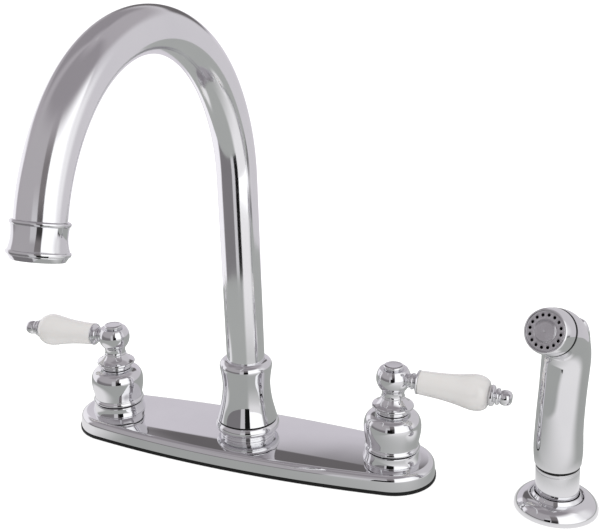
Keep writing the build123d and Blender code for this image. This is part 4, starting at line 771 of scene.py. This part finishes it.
def trigger_shell():
    """The trigger: the back of the grip grown by its rise between two heights, with its edges rounded over.

    Rows run up the plate and columns across it: point = middle - sqrt(r^2 - across^2) n + across side, r the
    radius outside or inside. The same grid is laid twice, outside and inside, and sewn at its edge."""
    up = np.linspace(0, 1, 110)
    over = np.linspace(-1, 1, 60)
    in_bend = grip_length > bend_start
    low_s = np.interp(TRIGGER_LOW - TRIGGER_FOOT, grip[:, 1], grip_length)
    high_s = np.interp(math.radians(TRIGGER_HEAD_TURN), grip_heading[in_bend], grip_length[in_bend])
    s = low_s + (high_s - low_s) * up
    centre = np.stack([np.interp(s, grip_length, grip[:, 0]), np.interp(s, grip_length, grip[:, 1])], axis=1)
    heading = np.interp(s, grip_length, grip_heading)
    radius = np.interp(s, grip_length, grip_radius)
    n = in_plane(np.cos(heading)[:, None], -np.sin(heading)[:, None], facing)
    side = np.cross(facing, UP)
    mid = np.array(spray_foot, float) + in_plane(centre[:, :1], centre[:, 1:], facing)
    # the width draws in towards both ends
    from_end = np.minimum(up * (high_s - low_s), (1 - up) * (high_s - low_s))
    width = TRIGGER_HALF_WIDTH - TRIGGER_END_NARROWING * quarter_round(from_end / TRIGGER_END_LENGTH)
    across = width[:, None] * over[None, :]
    from_edge = np.minimum(width[:, None] * (1 - np.abs(over[None, :])), from_end[:, None])
    drop = TRIGGER_EDGE * quarter_round(from_edge / TRIGGER_EDGE)
    swell = TRIGGER_SWELL * bell_curve(up - TRIGGER_SWELL_AT, TRIGGER_SWELL_LENGTH)[:, None]

    def layer(r):
        """Points at radius r behind the centre line."""
        depth = np.sqrt(np.maximum(r**2 - across**2, 1.0))
        return mid[:, None, :] - depth[..., None] * n[:, None, :] + across[..., None] * side

    outside = layer(radius[:, None] + TRIGGER_RISE - drop + swell)
    inside = layer(radius[:, None] - TRIGGER_SUNK + 0 * drop)
    rows, columns = outside.shape[:2]
    loop = np.concatenate([outside, inside[:, ::-1]], axis=1)

    def end_cap(row):
        """Quads between the outside and the inside along one end row."""
        first, last = row * 2 * columns, (row + 1) * 2 * columns - 1
        k = np.arange(columns - 1)
        return np.stack([first + k, first + k + 1, last - k - 1, last - k], axis=1)

    faces = np.concatenate([grid_faces(rows, 2 * columns, False, True), end_cap(0), end_cap(rows - 1)])
    return loop.reshape(-1, 3), faces


piece("trigger_plate", "spray_trigger", *trigger_shell(), CHROME, 50.0)

# ------------------------------------------------------------------ nodes kept as they are

for node, obj in frame["nodes"].items():
    obj.data.materials.clear()
    obj.data.materials.append(FINISHES[SLOT_OF[node]])

# ------------------------------------------------------------------ camera

CAMERA_AT = (0.2600888, -0.5615716, 0.3308084)
CAMERA_TURN, CAMERA_DOWN, CAMERA_ROLL = 24.4818, 20.0897, -1.6978
SENSOR_WIDTH, FOCAL_LENGTH = 36.0, 60.513
SHIFT_ACROSS, SHIFT_UP = 0.0832, 0.0641

turn, down, roll = (math.radians(v) for v in (CAMERA_TURN, CAMERA_DOWN, CAMERA_ROLL))
ahead = np.array([-math.sin(turn) * math.cos(down), math.cos(turn) * math.cos(down), -math.sin(down)])
level = np.array([math.cos(turn), math.sin(turn), 0.0])
above = np.cross(level, ahead)
right = math.cos(roll) * level + math.sin(roll) * above
top = math.cos(roll) * above - math.sin(roll) * level
lens = bpy.data.cameras.new("photo_camera")
lens.sensor_width, lens.lens = SENSOR_WIDTH, FOCAL_LENGTH
lens.shift_x, lens.shift_y = SHIFT_ACROSS, SHIFT_UP
lens.clip_start, lens.clip_end = 0.01, 50.0
camera = bpy.data.objects.new("photo_camera", lens)
bpy.context.collection.objects.link(camera)
place = np.eye(4)
place[:3, 0], place[:3, 1], place[:3, 2], place[:3, 3] = right, top, -ahead, CAMERA_AT
camera.matrix_world = Matrix(place.tolist())
bpy.context.scene.camera = camera

# ------------------------------------------------------------------ studio

# The chrome mirrors a tent, a table top and a card that only reflected rays see, with the soft tones of a
# product studio. The white ground and the even light on the porcelain come from the world and two lamps.
# Places are given from the column's foot: to the camera's right, towards the camera, and up, in metres.
BESIDE = np.array([math.cos(turn), math.sin(turn), 0.0])
NEARER = np.array([math.sin(turn), -math.cos(turn), 0.0])
TENT_R, TENT_CENTRE_Z = 0.72, 0.08
TABLE_R, TABLE_Z = 0.335, -0.0006
TABLE_WIDER_RIGHT, TABLE_WIDER_LIT = 0.15, 0.25
TABLE_LIT_FROM, TABLE_LIT_WIDTH = 0.17, 0.26
TABLE_PATCHES = (((0.190, 0.088), 0.050), ((-0.150, -0.045), 0.050))     # middle and radius of each pale patch
CARD_BESIDE, CARD_NEARER, CARD_UP = (-0.060, 0.050), 0.34, (-0.30, 0.12)
DIM_GREY = (0.43, 0.405, 0.43)
GREY_GREEN = (0.405, 0.415, 0.405)
PALE_GREY = (0.86, 0.85, 0.86)
CARD_BLACK = 0.008

# Each tone: colour, azimuth from and to in degrees (0 towards the camera, 90 to its right), the width of those
# edges, the lowest and highest elevation, and the width of those.
TENT_TONES = [
    ((0.30, 0.28, 0.30), -190, -100, 24, 42, 82, 10),      # dim ceiling behind, on the left
    ((0.31, 0.29, 0.31), -75, 70, 24, 50, 82, 16),         # ceiling over the camera
    ((0.64, 0.62, 0.65), 66, 190, 20, -120, 50, 16),       # pale wall on the right
    ((0.68, 0.65, 0.70), 150, 230, 10, -120, 26, 5),       # pale wall behind
    ((0.15, 0.14, 0.145), 152, 198, 14, 25, 44, 5),        # dark rail behind
    ((0.98, 0.96, 1.00), -156, -98, 10, -120, 26, 10),     # light box on the left, behind
    ((0.21, 0.20, 0.21), -96, -8, 8, -120, 4, 12),         # dim wall on the left, in front
    ((0.44, 0.42, 0.44), -84, -8, 12, 6, 50, 16),          # the same wall higher up
    ((0.62, 0.61, 0.63), -27, -10, 3, -120, 24, 16),       # strip of light beside the camera
    ((1.28, 1.28, 1.29), 8, 66, 7, -120, 44, 20),          # light box on the right, in front
    ((0.90, 0.89, 0.91), 56, 84, 22, -4, 34, 20),          # its soft far side
    ((0.06, 0.06, 0.06), 66, 82, 6, -120, -7, 6),          # dark foot of that light box
]
GAP_MIDDLE, GAP_HALF, GAP_EDGE = math.radians(-1.0), 0.145, 0.025
GAP_TOP, GAP_TOP_WIDTH = 44.0, 20.0
GAP_BLACK, GAP_TINT = 0.010, (1.0, 0.92, 0.95)


def painted(tone, azimuth, elevation, colour, first, last, edge, low, high, soft):
    """Lays a colour over a range of directions: tone (1 - m) + colour m, m a product of soft steps."""
    away = np.abs((azimuth - (first + last) / 2 + 180) % 360 - 180)
    mask = (soft_step((last - first) / 2 - away, edge) * soft_step(elevation - low, soft)
            * soft_step(high - elevation, soft))[..., None]
    return tone * (1 - mask) + np.array(colour) * mask


def mirrored_only(name, points, colours, faces):
    """A stage piece that glows with its own colours and that only reflected rays see."""
    mesh = bpy.data.meshes.new(name)
    mesh.from_pydata(points.reshape(-1, 3).tolist(), [], faces.tolist())
    tone = mesh.color_attributes.new("tone", "FLOAT_COLOR", "POINT")
    colours = np.c_[colours.reshape(-1, 3), np.ones(colours.size // 3)]
    tone.data.foreach_set("color", colours.astype(np.float32).ravel())
    glow = Finish(name, Base_Color=(0, 0, 0, 1), Roughness=1.0, Specular_IOR_Level=0.0, Emission_Strength=1.0)
    glow.feed("Emission Color", glow.node("ShaderNodeAttribute", {"attribute_name": "tone"}))
    mesh.materials.append(glow.material)
    obj = bpy.data.objects.new(name, mesh)
    bpy.context.collection.objects.link(obj)
    obj.visible_camera = obj.visible_diffuse = obj.visible_shadow = obj.visible_transmission = False


def tent():
    """A sphere: centre + R (cos e (sin a beside + cos a nearer) + sin e up), painted tone over tone.

    Last comes the opening that the camera looks through: a dark upright strip of even width, a little lighter
    above the horizon."""
    azimuth = np.linspace(-180, 180, 360, endpoint=False)[None, :]
    elevation = np.linspace(-89.5, 89.5, 180)[:, None]
    a, e = np.radians(azimuth), np.radians(elevation)
    points = (TENT_R * (np.cos(e) * np.sin(a))[..., None] * BESIDE
              + TENT_R * (np.cos(e) * np.cos(a))[..., None] * NEARER
              + (TENT_CENTRE_Z + TENT_R * np.sin(e) + 0 * a)[..., None] * UP)
    tone = np.array(DIM_GREY) + np.zeros((*points.shape[:2], 1))
    for colour, first, last, edge, low, high, soft in TENT_TONES:
        tone = painted(tone, azimuth, elevation + 0 * azimuth, colour, first, last, edge, low, high, soft)
    beside = np.cos(e) * np.sin(a - GAP_MIDDLE)
    gap = (soft_step(GAP_HALF - np.abs(beside), GAP_EDGE) * (np.cos(a - GAP_MIDDLE) > 0)
           * soft_step(GAP_TOP - elevation, GAP_TOP_WIDTH))[..., None]
    rising = 0.04 * soft_step(elevation + 1.0, 6.0) + 0.16 * soft_step(elevation - 18.0, 18.0)
    depth = GAP_BLACK + np.array(GAP_TINT) * rising[..., None]
    tone = tone * (1 - gap) + depth * gap
    mirrored_only("studio_tent", points, tone, grid_faces(*points.shape[:2], False, True))


def table_top():
    """A disc under the faucet: r (sin a beside + cos a nearer), grey-green, paler towards the light box on the
    right and in two round patches."""
    azimuth = np.linspace(-180, 180, 240, endpoint=False)[None, :]
    share = np.linspace(0.006, 1, 60)[:, None]
    a = np.radians(azimuth)
    right_side = soft_step(azimuth - 84, 20) * soft_step(150 - azimuth, 20)
    lit_side = soft_step(azimuth - 9, 6) * soft_step(84 - azimuth, 20)
    r = share * (TABLE_R + TABLE_WIDER_RIGHT * right_side + TABLE_WIDER_LIT * lit_side)
    beside, nearer = r * np.sin(a), r * np.cos(a)
    points = beside[..., None] * BESIDE + nearer[..., None] * NEARER + TABLE_Z * UP
    lit = (soft_step(azimuth - 6, 14) * soft_step(60 - azimuth, 18)
           * soft_step(r - TABLE_LIT_FROM, TABLE_LIT_WIDTH))
    for at, reach in TABLE_PATCHES:
        lit = np.maximum(lit, 1 - soft_step(np.hypot(beside - at[0], nearer - at[1]) - reach, 0.04))
    lit = lit[..., None]
    tone = np.array(GREY_GREEN) * (1 - lit) + np.array(PALE_GREY) * lit
    mirrored_only("studio_table", points, tone, grid_faces(*points.shape[:2], False, True))


def black_card():
    """An upright card at the table's edge in front of the handles: beside across, up the other way."""
    beside, up = np.array(CARD_BESIDE)[None, :], np.array(CARD_UP)[:, None]
    points = beside[..., None] * BESIDE + CARD_NEARER * NEARER + up[..., None] * UP
    mirrored_only("studio_black_card", points, np.full((2, 2, 3), CARD_BLACK), grid_faces(2, 2, False, False))


tent()
table_top()
black_card()


FLOOR_REACH, FLOOR_Z = 12.0, -0.0002


def pale_floor():
    """A wide flat sheet under the faucet, corners at +-reach."""
    corners = FLOOR_REACH * np.array([(-1, -1), (1, -1), (1, 1), (-1, 1)])
    mesh = bpy.data.meshes.new("floor")
    mesh.from_pydata(np.c_[corners, np.full(4, FLOOR_Z)].tolist(), [], [(0, 1, 2, 3)])
    paper = Finish("floor paper", Base_Color=(0.50, 0.50, 0.50, 1), Roughness=1.0, Specular_IOR_Level=0.0,
                   Emission_Color=(0.60, 0.60, 0.60, 1), Emission_Strength=1.0)
    mesh.materials.append(paper.material)
    obj = bpy.data.objects.new("floor", mesh)
    bpy.context.collection.objects.link(obj)
    obj.visible_glossy = False


pale_floor()

world = bpy.data.worlds.new("studio")
world.use_nodes = True
world.node_tree.nodes["Background"].inputs["Color"].default_value = (1.08, 1.08, 1.08, 1)
bpy.context.scene.world = world


def lamp(name, at, aim, size, power):
    """A broad round lamp in metres and watts that isn't mirrored in the chrome."""
    data = bpy.data.lights.new(name, "AREA")
    data.shape, data.size, data.energy = "DISK", size, power
    obj = bpy.data.objects.new(name, data)
    at, aim = np.array(at, float), np.array(aim, float)
    pose = np.eye(4)
    pose[:3, 0], pose[:3, 1], pose[:3, 2] = frame_along(at - aim)
    pose[:3, 3] = at
    obj.matrix_world = Matrix(pose.tolist())
    bpy.context.collection.objects.link(obj)
    obj.visible_glossy = False


lamp("overhead", (0.2, 0.3, 2.6), (0.05, 0.0, 0.0), 2.4, 22)
lamp("key", (1.3, -1.2, 1.1), (0.05, 0.0, 0.1), 0.9, 12)

bpy.context.scene.view_settings.view_transform = "Standard"
